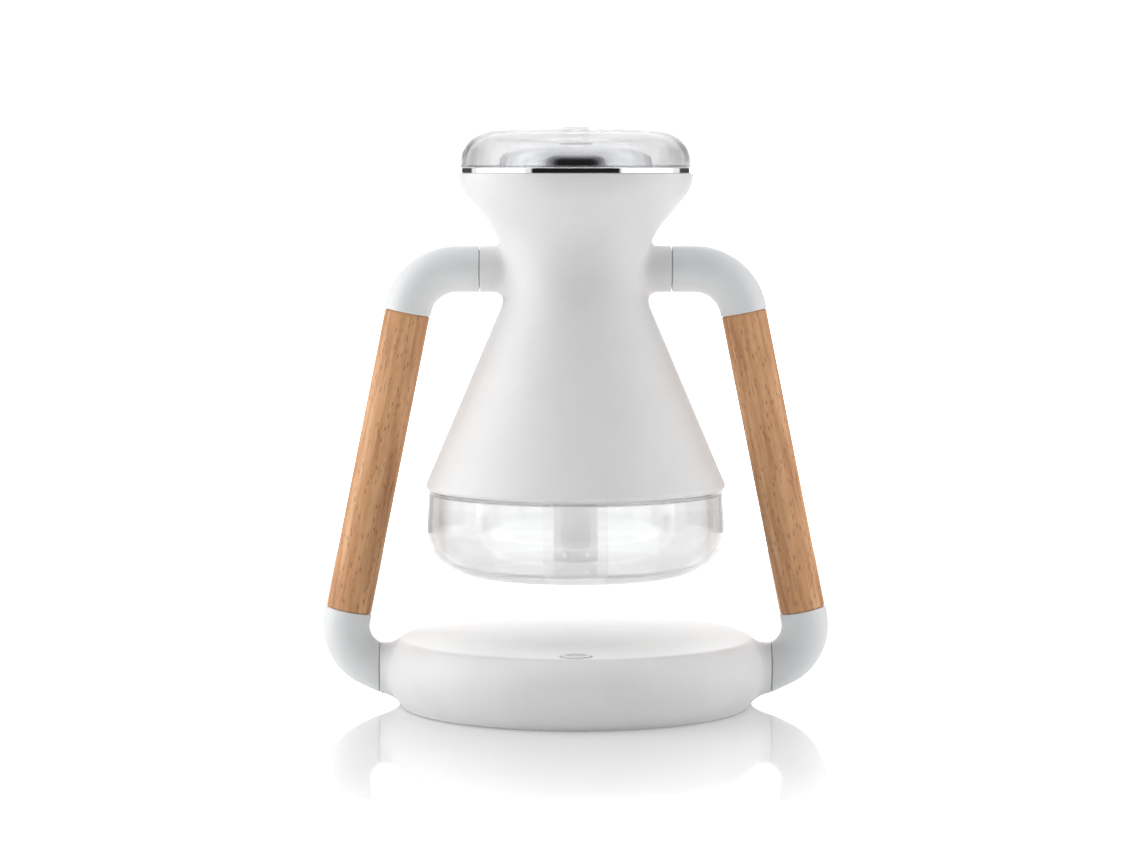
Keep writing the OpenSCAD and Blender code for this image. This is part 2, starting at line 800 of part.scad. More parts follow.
// Coil of round wire from height z0 to z1, swept with six-sided rings
module coil(r, wire_r, z0, z1, turns) {
    steps = turns * 16;
    sides = 6;
    points = [for (i = [0:steps]) for (j = [0:sides - 1])
        let (a = 360 * turns * i / steps, b = 360 * j / sides, q = r + wire_r * cos(b))
            [q * cos(a), q * sin(a), z0 + (z1 - z0) * i / steps + wire_r * sin(b)]];
    walls = [for (i = [0:steps - 1]) for (j = [0:sides - 1])
        let (k = (j + 1) % sides)
            [i * sides + j, (i + 1) * sides + j, (i + 1) * sides + k, i * sides + k]];
    start = [for (j = [0:sides - 1]) j];
    end = [for (j = [sides - 1:-1:0]) steps * sides + j];
    polyhedron(concat(points), concat(walls, [start], [end]), convexity = 8);
}

module wick_spring() color("silver")
    coil(wick_r - 0.6, 0.4, foot_z + 1.95, foot_z + 1.5 + spring_h - 0.45, 4);

module wick() color("ivory")
    disc(wick_r, foot_z + 1.5 + spring_h, piezo_z - fit);

module piezo_disc() color("gold")
    disc(piezo_r, piezo_z, piezo_z + piezo_t);

module piezo_seal() color("gray") {
    difference() {
        ring(piezo_seal_r, piezo_r - 1.6, holder_top, holder_top + seal_h);
        disc(piezo_r + fit, piezo_z - fit, piezo_z + piezo_t + fit);
    }
}

module piezo_clamp() color("whitesmoke") {
    difference() {
        union() {
            disc(core_screw_pitch + 3.3, holder_top, holder_top + clamp_t);
            disc(cup_r + 1.6, holder_top, clamp_top);
        }
        disc(cup_r + 0.2, holder_top - CUT, holder_top + seal_h);
        disc(piezo_r - 2.5, holder_top, clamp_top + CUT);
        around(3, core_screw_pitch, 90) disc(pilot_r + 0.2, holder_top - CUT, clamp_top);
        translate([-lead_x, 0, 0]) disc(lead_hole_r, holder_top - CUT, clamp_top);
    }
}

module mist_pipe() color("whitesmoke") {
    difference() {
        union() {
            disc(pipe_r + 5, clamp_top, clamp_top + 1.5);
            disc(pipe_r, clamp_top, reflector_top + 0.4);
        }
        disc(outlet_r, clamp_top - CUT, reflector_top + CUT);
    }
}

// ---- Lamp and dome ----

module lamp_deck() color("white") {
    difference() {
        disc(body_r(deck_z, body_wall) - slip, deck_z, deck_top);
        disc(pipe_r + 0.2, deck_z - CUT, deck_top + CUT);
        around(3, deck_screw_pitch, 90) disc(pilot_r + 0.2, deck_z - CUT, deck_top + CUT);
        translate([-lead_x, 0, 0]) disc(lead_hole_r, deck_z - CUT, deck_top + CUT);
    }
}

module deck_screws() color("silver")
    around(3, deck_screw_pitch, 90)
        translate([0, 0, deck_top + head_h])
            rotate([180, 0, 0]) screw(head_r - 0.5, head_h, deck_t + 1.5);

module lamp_board() color("white")
    ring(lamp_board_r, lamp_board_bore_r, deck_top, lamp_board_top);

module lamp_leds() color("lightyellow")
    around(led_count, led_pitch)
        block(-led_w / 2, led_w / 2, -led_w / 2, led_w / 2, lamp_board_top, lamp_board_top + 0.9);

// A low cap: a large arc across the top runs into a small one at the edge
function reflector_line(w) =
    let (
        edge_c = [reflector_r - reflector_edge, trim_top + 1.5],
        rise = reflector_top - edge_c.y,
        cap_r = (pow(edge_c.x, 2) + pow(rise, 2) - pow(reflector_edge, 2))
            / (2 * (rise - reflector_edge)),
        cap_c = [0, reflector_top - cap_r],
        turn = atan((edge_c.y - cap_c.y) / edge_c.x),
        hole_turn = acos((pipe_r + slip) / (cap_r - w))
    )
    concat(
        arc(edge_c, reflector_edge - w, 0, turn, 10),
        arc(cap_c, cap_r - w, turn + (hole_turn - turn) / 8, hole_turn, 7)
    );

module reflector() color("silver")
    spin(concat(
        [[reflector_r, lamp_board_top]],
        reflector_line(0),
        back(reflector_line(reflector_t)),
        [[reflector_r - reflector_t, lamp_board_top]]
    ));

module trim_ring() color("silver") {
    skirt_top_r = body_r(body_top - 2.4, body_wall) - slip;
    spin([
        [trim_bore_r, body_top - 2.4], [skirt_top_r, body_top - 2.4],
        [skirt_top_r, body_top], [trim_r, body_top],
        [trim_r, trim_top], [trim_bore_r, trim_top]
    ]);
}

module dome_cover() color("aliceblue", 0.35) {
    crown_c = [dome_r - dome_round, dome_top - dome_round];
    inner_r = dome_r - dome_wall;
    spigot_out = trim_bore_r - slip;
    spigot_in = spigot_out - 1.9;
    spin(concat(
        [[dome_r, trim_top]],
        arc(crown_c, dome_round, 0, 90, 16),
        [[outlet_r, dome_top], [outlet_r, dome_top - dome_wall]],
        back(arc(crown_c, dome_round - dome_wall, 0, 90, 16)),
        [[inner_r, trim_top + dome_sill], [spigot_in, trim_top + dome_sill],
         [spigot_in, trim_top - dome_spigot_l], [spigot_out, trim_top - dome_spigot_l],
         [spigot_out, trim_top]]
    ));
}

// ---- Tank ----

module tank_seal() color("gray")
    ring(neck_r - 0.3, neck_bore_r - 0.1, tank_neck_top + 0.05, tank_neck_top + 0.05 + seal_t);

module water_tank() color("aliceblue", 0.35) {
    corner_c = [tank_r - tank_round, tank_z + tank_round];
    shoulder = rim_z - slip;
    tangent = corner_c + tank_round * [cos(tank_draft), sin(tank_draft)];
    shoulder_r = tangent.x - (shoulder - tangent.y) * tan(tank_draft);
    inner = corner_c + (tank_round - tank_wall) * [cos(tank_draft), sin(tank_draft)];
    under = shoulder - tank_wall;
    under_r = inner.x - (under - inner.y) * tan(tank_draft);
    spin(concat(
        [[0, tank_z]],
        arc(corner_c, tank_round, -90, tank_draft, 16),
        [[shoulder_r, shoulder], [neck_r, shoulder], [neck_r, tank_neck_top],
         [neck_bore_r, tank_neck_top], [neck_bore_r, under], [under_r, under]],
        back(arc(corner_c, tank_round - tank_wall, -90, tank_draft, 16)),
        [[0, tank_z + tank_wall]]
    ));
    for (i = [0:lug_count - 1])
        arc_block(neck_bore_r - lug_t, neck_bore_r + 0.3, lug_z, lug_z + lug_h,
                  35 + 360 * i / lug_count - lug_arc / 2, lug_arc);
}

base_housing();
base_cover();
base_feet();
base_screws();
ballast_plate();
control_board();
board_components();
board_screws();
usb_socket();
button_board();
button_switch();
button_ribbon();
switch_plunger();
button_cap();
lower_elbow_left();
lower_elbow_right();
grip_left();
grip_right();
core_tube_left();
core_tube_right();
upper_elbow_left();
upper_elbow_right();
mist_lead();
lamp_lead();
body_shell();
tank_plate();
plate_screws();
mist_holder();
holder_screws();
wick_tube();
wick_foot();
wick_spring();
wick();
piezo_disc();
piezo_seal();
piezo_clamp();
mist_pipe();
lamp_deck();
deck_screws();
lamp_board();
lamp_leds();
reflector();
trim_ring();
tank_seal();
water_tank();
dome_cover();
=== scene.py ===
# %% [markdown]
# # Cool mist humidifier
# An hourglass body hangs between two bent arms over a round base. The clear
# tank is below it and a clear dome on top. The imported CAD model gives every
# size and place, and this lesson models the visible pieces round it.

# %% Load the CAD model
import json
import math
import bmesh
import bpy
import numpy as np
from mathutils import Matrix, Vector


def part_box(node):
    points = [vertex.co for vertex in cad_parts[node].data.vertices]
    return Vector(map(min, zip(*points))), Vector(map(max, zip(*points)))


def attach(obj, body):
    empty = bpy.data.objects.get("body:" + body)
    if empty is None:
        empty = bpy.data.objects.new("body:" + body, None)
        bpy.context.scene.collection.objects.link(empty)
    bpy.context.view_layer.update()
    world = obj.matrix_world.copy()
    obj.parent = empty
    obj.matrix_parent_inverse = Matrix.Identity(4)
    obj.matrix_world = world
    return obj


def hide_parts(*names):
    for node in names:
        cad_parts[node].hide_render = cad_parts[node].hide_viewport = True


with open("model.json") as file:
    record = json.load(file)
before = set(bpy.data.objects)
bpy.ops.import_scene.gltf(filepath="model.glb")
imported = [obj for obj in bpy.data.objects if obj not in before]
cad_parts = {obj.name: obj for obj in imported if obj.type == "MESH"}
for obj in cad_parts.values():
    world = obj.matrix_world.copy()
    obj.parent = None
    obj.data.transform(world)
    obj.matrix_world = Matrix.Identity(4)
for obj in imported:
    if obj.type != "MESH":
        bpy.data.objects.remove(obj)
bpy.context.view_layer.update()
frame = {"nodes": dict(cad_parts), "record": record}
scene = bpy.context.scene
MM = 0.001
TURN = 2 * math.pi
# A point this near a plane, in mm, counts as on it
NEAR = 0.01
print("CAD nodes:", len(frame["nodes"]))

# %% [markdown]
# The camera stands 1.2 m away and a little above the table. It has a long
# lens, so that the object keeps its proportions, and looks slightly down. The
# standard view transform shows the white studio as pure white.

# %% Camera
# Degrees that the camera looks down
CAMERA_TILT = 4.35

camera_data = bpy.data.cameras.new("studio_camera")
camera_data.lens = 107.97
camera_data.sensor_width = 36
camera_data.clip_end = 50
camera = bpy.data.objects.new("studio_camera", camera_data)
camera.location = (-0.0020, -1.21, 0.19076)
camera.rotation_euler = (math.radians(90 - CAMERA_TILT), 0, 0)
scene.collection.objects.link(camera)
scene.camera = camera
scene.view_settings.view_transform = "Standard"
print("camera height in mm:", round(camera.location.z / MM, 1))

# %% [markdown]
# Every material is a small graph of nodes. One function adds a node: it sets
# the node's own settings, fills its number inputs and links its socket
# inputs. Colours are written as sRGB hex values, which Blender needs as
# linear light, so another function turns them.

# %% Node and colour helpers
def linear(hex_colour):
    """An sRGB hex colour as linear RGBA."""
    parts = [int(hex_colour[i:i + 2], 16) / 255 for i in (1, 3, 5)]
    return [((p + 0.055) / 1.055) ** 2.4 if p > 0.04045 else p / 12.92 for p in parts] + [1]


def add_node(tree, kind, inputs=None, **settings):
    """Adds a node. inputs takes values and sockets, settings the node's own fields."""
    node = tree.nodes.new(kind)
    for name, value in settings.items():
        setattr(node, name, value)
    for name, value in (inputs or {}).items():
        if isinstance(value, bpy.types.NodeSocket):
            tree.links.new(value, node.inputs[name])
        else:
            node.inputs[name].default_value = value
    return node


def new_material(name):
    """An empty material with its shader, output and object coordinates."""
    material = bpy.data.materials.new(name)
    material.use_nodes = True
    tree = material.node_tree
    tree.nodes.clear()
    shader = add_node(tree, "ShaderNodeBsdfPrincipled")
    add_node(tree, "ShaderNodeOutputMaterial", {"Surface": shader.outputs[0]})
    place = add_node(tree, "ShaderNodeTexCoord").outputs["Object"]
    return material, tree, shader, place


print("white in linear light:", linear("#ffffff"))

# %% [markdown]
# ## Studio
# The world is a bright tent of white light. Its front is nearly black, as
# behind a camera in a dim room, so the body is a little grey in its middle
# and lighter at its sides. Two dark strips behind the object give the clear
# parts their dark outlines. Both sides and the back are brighter than the
# rest, the right side least. The camera itself sees plain white, and the
# clear plastic looks out at nothing brighter than plain white.

# %% World light
TENT_LIGHT = 0.93
# The brightest that the tent looks through clear plastic
PAPER_WHITE = 1.0
# Each patch of the tent: the azimuth of its middle (0 is the front, 90 the
# right), the degrees either side where it is full and where it has ended,
# the height in degrees where it starts to fade and where it has ended, and
# its change in brightness (-1 is black, 1 is double)
TENT_PATCHES = [
    (0, 43, 46, 34, 75, -0.985),
    (-142, 14, 17, 14, 30, -0.92),
    (142, 14, 17, 14, 30, -0.92),
    (-84, 28, 34, 35, 75, 1.25),
    (80, 30, 36, 35, 75, 0.4),
    (180, 16, 24, 20, 65, 1.6),
]

world = bpy.data.worlds.new("studio_tent")
scene.world = world
world.use_nodes = True
tent = world.node_tree
tent.nodes.clear()
view_line = add_node(tent, "ShaderNodeTexCoord").outputs["Generated"]
flat_line = add_node(tent, "ShaderNodeVectorMath", {0: view_line, 1: (1, 1, 0)},
                     operation="MULTIPLY").outputs[0]
heading = add_node(tent, "ShaderNodeVectorMath", {0: flat_line},
                   operation="NORMALIZE").outputs[0]
climb = add_node(tent, "ShaderNodeSeparateXYZ", {0: view_line}).outputs["Z"]
glow = None
for azimuth, full, end, low, high, change in TENT_PATCHES:
    a = math.radians(azimuth)
    facing = add_node(tent, "ShaderNodeVectorMath", {
        0: heading, 1: (math.sin(a), -math.cos(a), 0)}, operation="DOT_PRODUCT")
    across = add_node(tent, "ShaderNodeMapRange", {
        "Value": facing.outputs["Value"], "From Min": math.cos(math.radians(end)),
        "From Max": math.cos(math.radians(full)),
    }, interpolation_type="SMOOTHSTEP")
    up = add_node(tent, "ShaderNodeMapRange", {
        "Value": climb, "From Min": math.sin(math.radians(high)),
        "From Max": math.sin(math.radians(low)), "To Max": change,
    }, interpolation_type="SMOOTHSTEP")
    share = add_node(tent, "ShaderNodeMath", {
        0: across.outputs["Result"], 1: up.outputs["Result"], 2: 1}, operation="MULTIPLY_ADD")
    glow = add_node(tent, "ShaderNodeMath", {
        0: TENT_LIGHT if glow is None else glow, 1: share.outputs[0]},
        operation="MULTIPLY").outputs[0]
rays = add_node(tent, "ShaderNodeLightPath").outputs
paper = add_node(tent, "ShaderNodeMath", {
    0: glow, 1: PAPER_WHITE}, operation="MINIMUM").outputs[0]
through = add_node(tent, "ShaderNodeMix", {
    "Factor": rays["Is Transmission Ray"], "A": glow, "B": paper}).outputs[0]
shown = add_node(tent, "ShaderNodeMath", {
    0: through, 1: rays["Is Camera Ray"]}, operation="MAXIMUM")
lamp = add_node(tent, "ShaderNodeBackground", {
    "Color": (1, 1, 1, 1), "Strength": shown.outputs[0]})
add_node(tent, "ShaderNodeOutputWorld", {"Surface": lamp.outputs[0]})
print("tent patches:", len(TENT_PATCHES))

# %% [markdown]
# The floor is a white glossy sheet, polished only in its middle, where it
# reflects strongly. Near the object its colour is painted slightly grey: painted
# shade round the object. Further out the polish and the painted shade fade away
# and the sheet turns plain white. All of it has a faint glow of its own, painted
# light that is a little weaker near the object.

# %% Floor
# Radius of the sheet in m, and the two radii between which its polish, painted shade and glow fade
FLOOR_R = 0.5
FADE_FROM = 0.07
FADE_TO = 0.2
# What fades: the shader's input, its value near the object and further out
FADES = [
    # painted shade: the sheet's colour is greyer near the object
    ("Base Color", 0.78, 1.0),
    ("Specular IOR Level", 0.75, 0.0),
    # painted light: a faint glow, a little weaker near the object
    ("Emission Strength", 0.12, 0.15),
]

floor_mesh = bpy.data.meshes.new("studio_floor")
bm = bmesh.new()
bmesh.ops.create_circle(bm, cap_ends=True, segments=96, radius=FLOOR_R)
bm.to_mesh(floor_mesh)
bm.free()
floor = bpy.data.objects.new("studio_floor", floor_mesh)
scene.collection.objects.link(floor)
acrylic, tree, shader, place = new_material("white_acrylic_sheet")
reach = add_node(tree, "ShaderNodeVectorMath", {0: place}, operation="LENGTH").outputs["Value"]
for socket, near, far in FADES:
    fade = add_node(tree, "ShaderNodeMapRange", {
        "Value": reach, "From Min": FADE_FROM, "From Max": FADE_TO,
        "To Min": near, "To Max": far})
    tree.links.new(fade.outputs["Result"], shader.inputs[socket])
for socket, value in {
    "IOR": 1.49, "Roughness": 0.05, "Emission Color": (1, 1, 1, 1),
}.items():
    shader.inputs[socket].default_value = value
floor_mesh.materials.append(acrylic)
print("floor radius in m:", FLOOR_R, "fading inputs:", len(FADES))

# %% [markdown]
# ## Finishes
# The white shells are ABS from a mould with a fine spark-eroded texture. It
# is satin: no sharp highlight, only a soft sheen. A faint mottling keeps
# large areas from looking computed. Real grit is about 0.05 mm, too fine to
# show, so it is drawn at 0.35 mm.

# %% Moulded plastics, rubber and boards
# Where in the noise the soft patches are fully dark and fully light
PATCH_DARK = 0.35
PATCH_LIGHT = 0.65
# How far the fine grit moves the roughness, as a share of it
GRIT_SPREAD = 0.15


def moulded(name, light, dark, roughness, grit_mm, height_mm, mottle_mm=14, metallic=0.0):
    """A moulded or plated surface: two close colours in soft patches, with fine grit."""
    material, tree, shader, place = new_material(name)
    patches = add_node(tree, "ShaderNodeTexNoise", {
        "Vector": place, "Scale": 1 / (mottle_mm * MM), "Detail": 3.0})
    ramp = add_node(tree, "ShaderNodeValToRGB", {"Fac": patches.outputs["Fac"]})
    ramp.color_ramp.elements[0].position = PATCH_DARK
    ramp.color_ramp.elements[0].color = linear(dark)
    ramp.color_ramp.elements[1].position = PATCH_LIGHT
    ramp.color_ramp.elements[1].color = linear(light)
    tree.links.new(ramp.outputs["Color"], shader.inputs["Base Color"])
    grit = add_node(tree, "ShaderNodeTexNoise", {
        "Vector": place, "Scale": 1 / (grit_mm * MM), "Detail": 2.0})
    gloss = add_node(tree, "ShaderNodeMapRange", {
        "Value": grit.outputs["Fac"], "To Min": roughness * (1 - GRIT_SPREAD),
        "To Max": roughness * (1 + GRIT_SPREAD)})
    tree.links.new(gloss.outputs["Result"], shader.inputs["Roughness"])
    bump = add_node(tree, "ShaderNodeBump", {
        "Height": grit.outputs["Fac"], "Distance": height_mm * MM, "Strength": 0.6})
    tree.links.new(bump.outputs["Normal"], shader.inputs["Normal"])
    shader.inputs["Metallic"].default_value = metallic
    return material


# Each finish: light and dark colour, roughness, width of the grit in mm and
# its height in mm
MOULDED = {
    # moulded ABS, spark-eroded satin white: the body and the base
    "white_abs": ("#f1f1f1", "#eeeeee", 0.42, 0.35, 0.02),
    # the same plastic a shade cooler: the elbows. It is drawn a touch lighter than
    # the body's as painted light, since their fronts face the tent's dark front
    "elbow_abs": ("#f2f4f5", "#eff1f3", 0.40, 0.35, 0.02),
    # plain ABS of the inner plates, smoother
    "inner_abs": ("#e8e8e6", "#e0e0de", 0.35, 0.6, 0.02),
    # moulded rubber of the feet, dull
    "foot_rubber": ("#3a3a3c", "#303032", 0.75, 0.3, 0.04),
    # light grey ABS of the button
    "button_grey": ("#dcdddd", "#d4d5d6", 0.36, 0.3, 0.02),
    # frosted polypropylene of the wick tube, drawn pure white as painted light,
    # lighter than the plastic's own tone, for the light that the tank's walls hold back
    "wick_tube_pp": ("#ffffff", "#fcfdfd", 0.6, 0.5, 0.02),
    # silicone rubber of the seals
    "silicone": ("#dfe2e3", "#d5d9db", 0.5, 0.4, 0.02),
    # solder mask over glass fibre
    "circuit_board": ("#1f6b3a", "#175a2f", 0.35, 0.8, 0.03),
    "board_white": ("#eff0ec", "#e3e5e0", 0.4, 0.8, 0.03),
    # epoxy and moulded parts on the boards
    "component_black": ("#26272a", "#1c1d20", 0.45, 0.3, 0.02),
    # PVC of the flat ribbon and the leads
    "ribbon_white": ("#dddcd6", "#d2d1ca", 0.5, 0.5, 0.02),
    "lead_pvc": ("#3b3d42", "#313338", 0.45, 0.5, 0.02),
    # epoxy lens over the phosphor
    "led_lens": ("#f6eebd", "#efe2a0", 0.25, 0.4, 0.01),
}
MATERIALS = {name: moulded(name, *values) for name, values in MOULDED.items()}
# The wick tube is thin and frosted: a faint glow, painted light, stands for the
# light that soaks through it
TUBE_PAINTED_GLOW = 0.24
frosted = MATERIALS["wick_tube_pp"].node_tree.nodes["Principled BSDF"]
frosted.inputs["Emission Color"].default_value = (1, 1, 1, 1)
frosted.inputs["Emission Strength"].default_value = TUBE_PAINTED_GLOW
print("moulded finishes:", len(MOULDED))

# %% [markdown]
# Metals take their colour from their reflection. Screws and springs are
# zinc plated, the ballast is rolled sheet, the mist disc is brass and the
# trim ring and reflector are chrome on plastic, almost a mirror.

# %% Metals
# The same five values as for a moulded finish
METALS = {
    "screw_steel": ("#c4c6c8", "#b0b3b6", 0.32, 0.4, 0.01),
    "ballast_steel": ("#8d9093", "#7d8084", 0.45, 1.5, 0.03),
    "socket_steel": ("#c9cbcd", "#bcbfc2", 0.25, 0.5, 0.01),
    "core_steel": ("#a9acaf", "#9b9ea2", 0.35, 0.8, 0.02),
    "spring_steel": ("#b5b8bb", "#a5a8ac", 0.3, 0.3, 0.01),
    "piezo_brass": ("#d6b464", "#c8a350", 0.3, 0.6, 0.01),
    "reflector_chrome": ("#eeeff1", "#e6e8ea", 0.06, 6, 0.004),
    "trim_chrome": ("#f2f2f3", "#ebecee", 0.05, 6, 0.002),
}
for name, values in METALS.items():
    MATERIALS[name] = moulded(name, *values, metallic=1.0)
print("metals:", len(METALS))

# %% [markdown]
# The tank and the dome are clear moulded plastic. Their look comes from real
# walls that bend the light, so the mesh has an outer and an inner face. The
# wall isn't perfectly even, which a very shallow, wide ripple shows. A share
# of each wall is plainly see-through and bends nothing, which keeps the
# plastic pale.

# %% Clear plastic
def clear(name, tint, ripple_mm, height_mm, roughness, strength):
    """Clear moulded plastic: a faint ripple, dull patches and the share that bends light."""
    material, tree, shader, place = new_material(name)
    ripple = add_node(tree, "ShaderNodeTexNoise", {
        "Vector": place, "Scale": 1 / (ripple_mm * MM), "Detail": 1.0})
    bump = add_node(tree, "ShaderNodeBump", {
        "Height": ripple.outputs["Fac"], "Distance": height_mm * MM, "Strength": 0.5})
    haze = add_node(tree, "ShaderNodeMapRange", {
        "Value": ripple.outputs["Fac"], "To Min": 0.0, "To Max": roughness})
    for socket, value in {
        "Base Color": linear(tint), "IOR": 1.49, "Transmission Weight": 1.0,
        "Alpha": strength,
    }.items():
        shader.inputs[socket].default_value = value
    tree.links.new(bump.outputs["Normal"], shader.inputs["Normal"])
    tree.links.new(haze.outputs["Result"], shader.inputs["Roughness"])
    return material


# polycarbonate, slightly cool in its thick edges
MATERIALS["tank_clear"] = clear("tank_clear", "#fbfcfc", 16, 0.05, 0.02, 0.68)
# acrylic, the clearest plastic
MATERIALS["dome_clear"] = clear("dome_clear", "#fdfdfe", 20, 0.02, 0.01, 0.75)
print("clear finishes: 2")

# %% [markdown]
# The grips are turned beech with a matt varnish: a pinkish tan with long
# soft streaks, fine darker pores along the grain and short ray flecks. The
# grain follows each grip, so a Mapping node turns the pattern by the grip's
# lean. It divides by sizes in millimetres: streaks are 1.6 mm wide and 30 mm
# long, broad bands 6 mm by 45 mm, pores 0.25 mm by 5 mm and flecks 1.2 mm by
# 4.5 mm.

# %% Arm geometry
# Sizes of the arms in mm, as the CAD model has them: radii first
ARM_R = 8.3
GRIP_R = 8.0
CORE_R = 5.05
SPIGOT_R = 6.6
CHANNEL_R = 3.6
# Gap at every seam, and round most pieces that slip into another
SEAM = 0.3
# Rounded edge beside a seam
EDGE = 0.25
TOP_BEND_R = 17.6
LOW_BEND_R = 14.4
TOP_BEND_X = 42.0
LOW_BEND_X = 67.3
BODY_SEAM_X = 33.8
BASE_SEAM_X = 69.5
STUB_SLOPE = math.radians(25)
STUB_AXIS_Z = 13.0
TOP_NECK = 1.2
LOW_NECK = 3.0


def box_mm(node):
    """Low and high corner of a CAD node in millimetres."""
    low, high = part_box(node)
    return low / MM, high / MM


arm_z = box_mm("upper_elbow_right")[1].z - ARM_R
top_bend = Vector((TOP_BEND_X, 0, arm_z - TOP_BEND_R))
low_bend = Vector((LOW_BEND_X, 0, STUB_AXIS_Z + LOW_BEND_R * math.cos(STUB_SLOPE)
                   + (LOW_BEND_X + LOW_BEND_R * math.sin(STUB_SLOPE) - BASE_SEAM_X)
                   * math.tan(STUB_SLOPE)))
span = top_bend - low_bend
LEAN = math.atan2(-span.x, span.z) - math.asin((TOP_BEND_R - LOW_BEND_R) / span.length)
along_grip = Vector((-math.sin(LEAN), 0, math.cos(LEAN)))
across_grip = Vector((math.cos(LEAN), 0, math.sin(LEAN)))
grip_foot = low_bend + across_grip * LOW_BEND_R
straight = math.sqrt(span.length ** 2 - (TOP_BEND_R - LOW_BEND_R) ** 2)
slant = Vector((-math.cos(STUB_SLOPE), 0, -math.sin(STUB_SLOPE)))
slant_start = low_bend + Vector((math.sin(STUB_SLOPE), 0, -math.cos(STUB_SLOPE))) * LOW_BEND_R
print("arm height:", round(arm_z, 2), "lean in degrees:", round(math.degrees(LEAN), 2))

# %% Beech
def beech(name, side):
    """Varnished beech with its grain along the grip on that side."""
    material, tree, shader, place = new_material(name)

    def along_grain(width_mm, length_mm, shift=0.0):
        return add_node(tree, "ShaderNodeMapping", {
            "Vector": place,
            "Location": (side * grip_foot.x * MM, shift, grip_foot.z * MM),
            "Rotation": (0, -side * LEAN, 0),
            "Scale": (width_mm * MM, width_mm * MM, length_mm * MM),
        }, vector_type="TEXTURE").outputs["Vector"]

    streaks = add_node(tree, "ShaderNodeTexNoise", {
        "Vector": along_grain(1.6, 30), "Scale": 1.0, "Detail": 4.0, "Roughness": 0.6})
    bands = add_node(tree, "ShaderNodeTexNoise", {
        "Vector": along_grain(6, 45, 0.02), "Scale": 1.0, "Detail": 2.0})
    pores = add_node(tree, "ShaderNodeTexNoise", {
        "Vector": along_grain(0.25, 5), "Scale": 1.0, "Detail": 1.0})
    flecks = add_node(tree, "ShaderNodeTexVoronoi", {
        "Vector": along_grain(1.2, 4.5, 0.05), "Scale": 1.0, "Randomness": 1.0})
    blend = add_node(tree, "ShaderNodeMath", {
        0: streaks.outputs["Fac"], 1: bands.outputs["Fac"]}, operation="ADD")
    tone = add_node(tree, "ShaderNodeMath", {0: blend.outputs[0], 1: 0.5}, operation="MULTIPLY")
    wood = add_node(tree, "ShaderNodeValToRGB", {"Fac": tone.outputs[0]})
    wood.color_ramp.elements[0].position = 0.31
    wood.color_ramp.elements[0].color = linear("#b0764c")
    wood.color_ramp.elements[1].position = 0.69
    wood.color_ramp.elements[1].color = linear("#f8c797")
    middle = wood.color_ramp.elements.new(0.5)
    middle.color = linear("#dea676")
    pore_mask = add_node(tree, "ShaderNodeMapRange", {
        "Value": pores.outputs["Fac"], "From Min": 0.6, "From Max": 0.76, "To Max": 0.5})
    fleck_mask = add_node(tree, "ShaderNodeMapRange", {
        "Value": flecks.outputs["Distance"], "From Min": 0.3, "From Max": 0.12, "To Max": 0.55})
    marks = add_node(tree, "ShaderNodeMath", {
        0: pore_mask.outputs["Result"], 1: fleck_mask.outputs["Result"]}, operation="MAXIMUM")
    coloured = add_node(tree, "ShaderNodeMix", {
        "Factor": marks.outputs[0], 6: wood.outputs["Color"], 7: linear("#84502b")},
        data_type="RGBA")
    tree.links.new(coloured.outputs[2], shader.inputs["Base Color"])
    gloss = add_node(tree, "ShaderNodeMapRange", {
        "Value": streaks.outputs["Fac"], "To Min": 0.48, "To Max": 0.62})
    tree.links.new(gloss.outputs["Result"], shader.inputs["Roughness"])
    bump = add_node(tree, "ShaderNodeBump", {
        "Height": marks.outputs[0], "Distance": 0.03 * MM, "Strength": 0.5}, invert=True)
    tree.links.new(bump.outputs["Normal"], shader.inputs["Normal"])
    return material


MATERIALS["beech_right"] = beech("beech_right", 1)
MATERIALS["beech_left"] = beech("beech_left", -1)
print("beech grips: 2")

# %% [markdown]
# The wick is a rolled cotton rod: fine threads wind round it. The wave
# texture draws them 0.7 mm apart.

# %% Cotton wick
THREAD_MM = 0.7
# Width of one band of the wave texture at a scale of 1
BAND = 0.314

cotton, tree, shader, place = new_material("wick_cotton")
threads = add_node(tree, "ShaderNodeTexWave", {
    "Vector": place, "Scale": BAND / (THREAD_MM * MM), "Distortion": 1.5, "Detail": 2.0},
    wave_type="BANDS", bands_direction="Z")
yarn = add_node(tree, "ShaderNodeValToRGB", {"Fac": threads.outputs["Fac"]})
yarn.color_ramp.elements[0].color = linear("#d8d2c2")
yarn.color_ramp.elements[1].color = linear("#f3efe4")
ridge = add_node(tree, "ShaderNodeBump", {
    "Height": threads.outputs["Fac"], "Distance": 0.15 * MM, "Strength": 0.8})
tree.links.new(yarn.outputs["Color"], shader.inputs["Base Color"])
tree.links.new(ridge.outputs["Normal"], shader.inputs["Normal"])
shader.inputs["Roughness"].default_value = 0.9
MATERIALS["wick_cotton"] = cotton
print("cotton ready")

# %% [markdown]
# ## Helpers for modelling
# Pieces are modelled in millimetres and scaled to metres at the end. Most of
# them are turned shapes: a half section of a few corners, each rounded to
# its radius by a vertex bevel, is spun about an axis.

# %% Turned shapes
# Points nearer together than this, in mm, are merged
WELD = 0.0005
# A rounding gets one edge for each of these degrees
FACET = 7


def half_section(bm, corners, closed):
    """A wire of (radius, height, rounding) corners in the X-Z plane."""
    verts = [bm.verts.new((r, 0, z)) for r, z, _ in corners]
    pairs = list(zip(verts, verts[1:])) + ([(verts[-1], verts[0])] if closed else [])
    for a, b in pairs:
        bm.edges.new((a, b))
    for vert, (_, _, rounding) in zip(verts, corners):
        if not rounding:
            continue
        one, two = [e.other_vert(vert).co - vert.co for e in vert.link_edges]
        turn = math.pi - one.angle(two)
        bmesh.ops.bevel(
            bm, geom=[vert], offset=rounding * math.tan(turn / 2), offset_type="OFFSET",
            segments=max(2, round(math.degrees(turn) / FACET)), profile=0.5,
            affect="VERTICES", material=-1)
    return bm


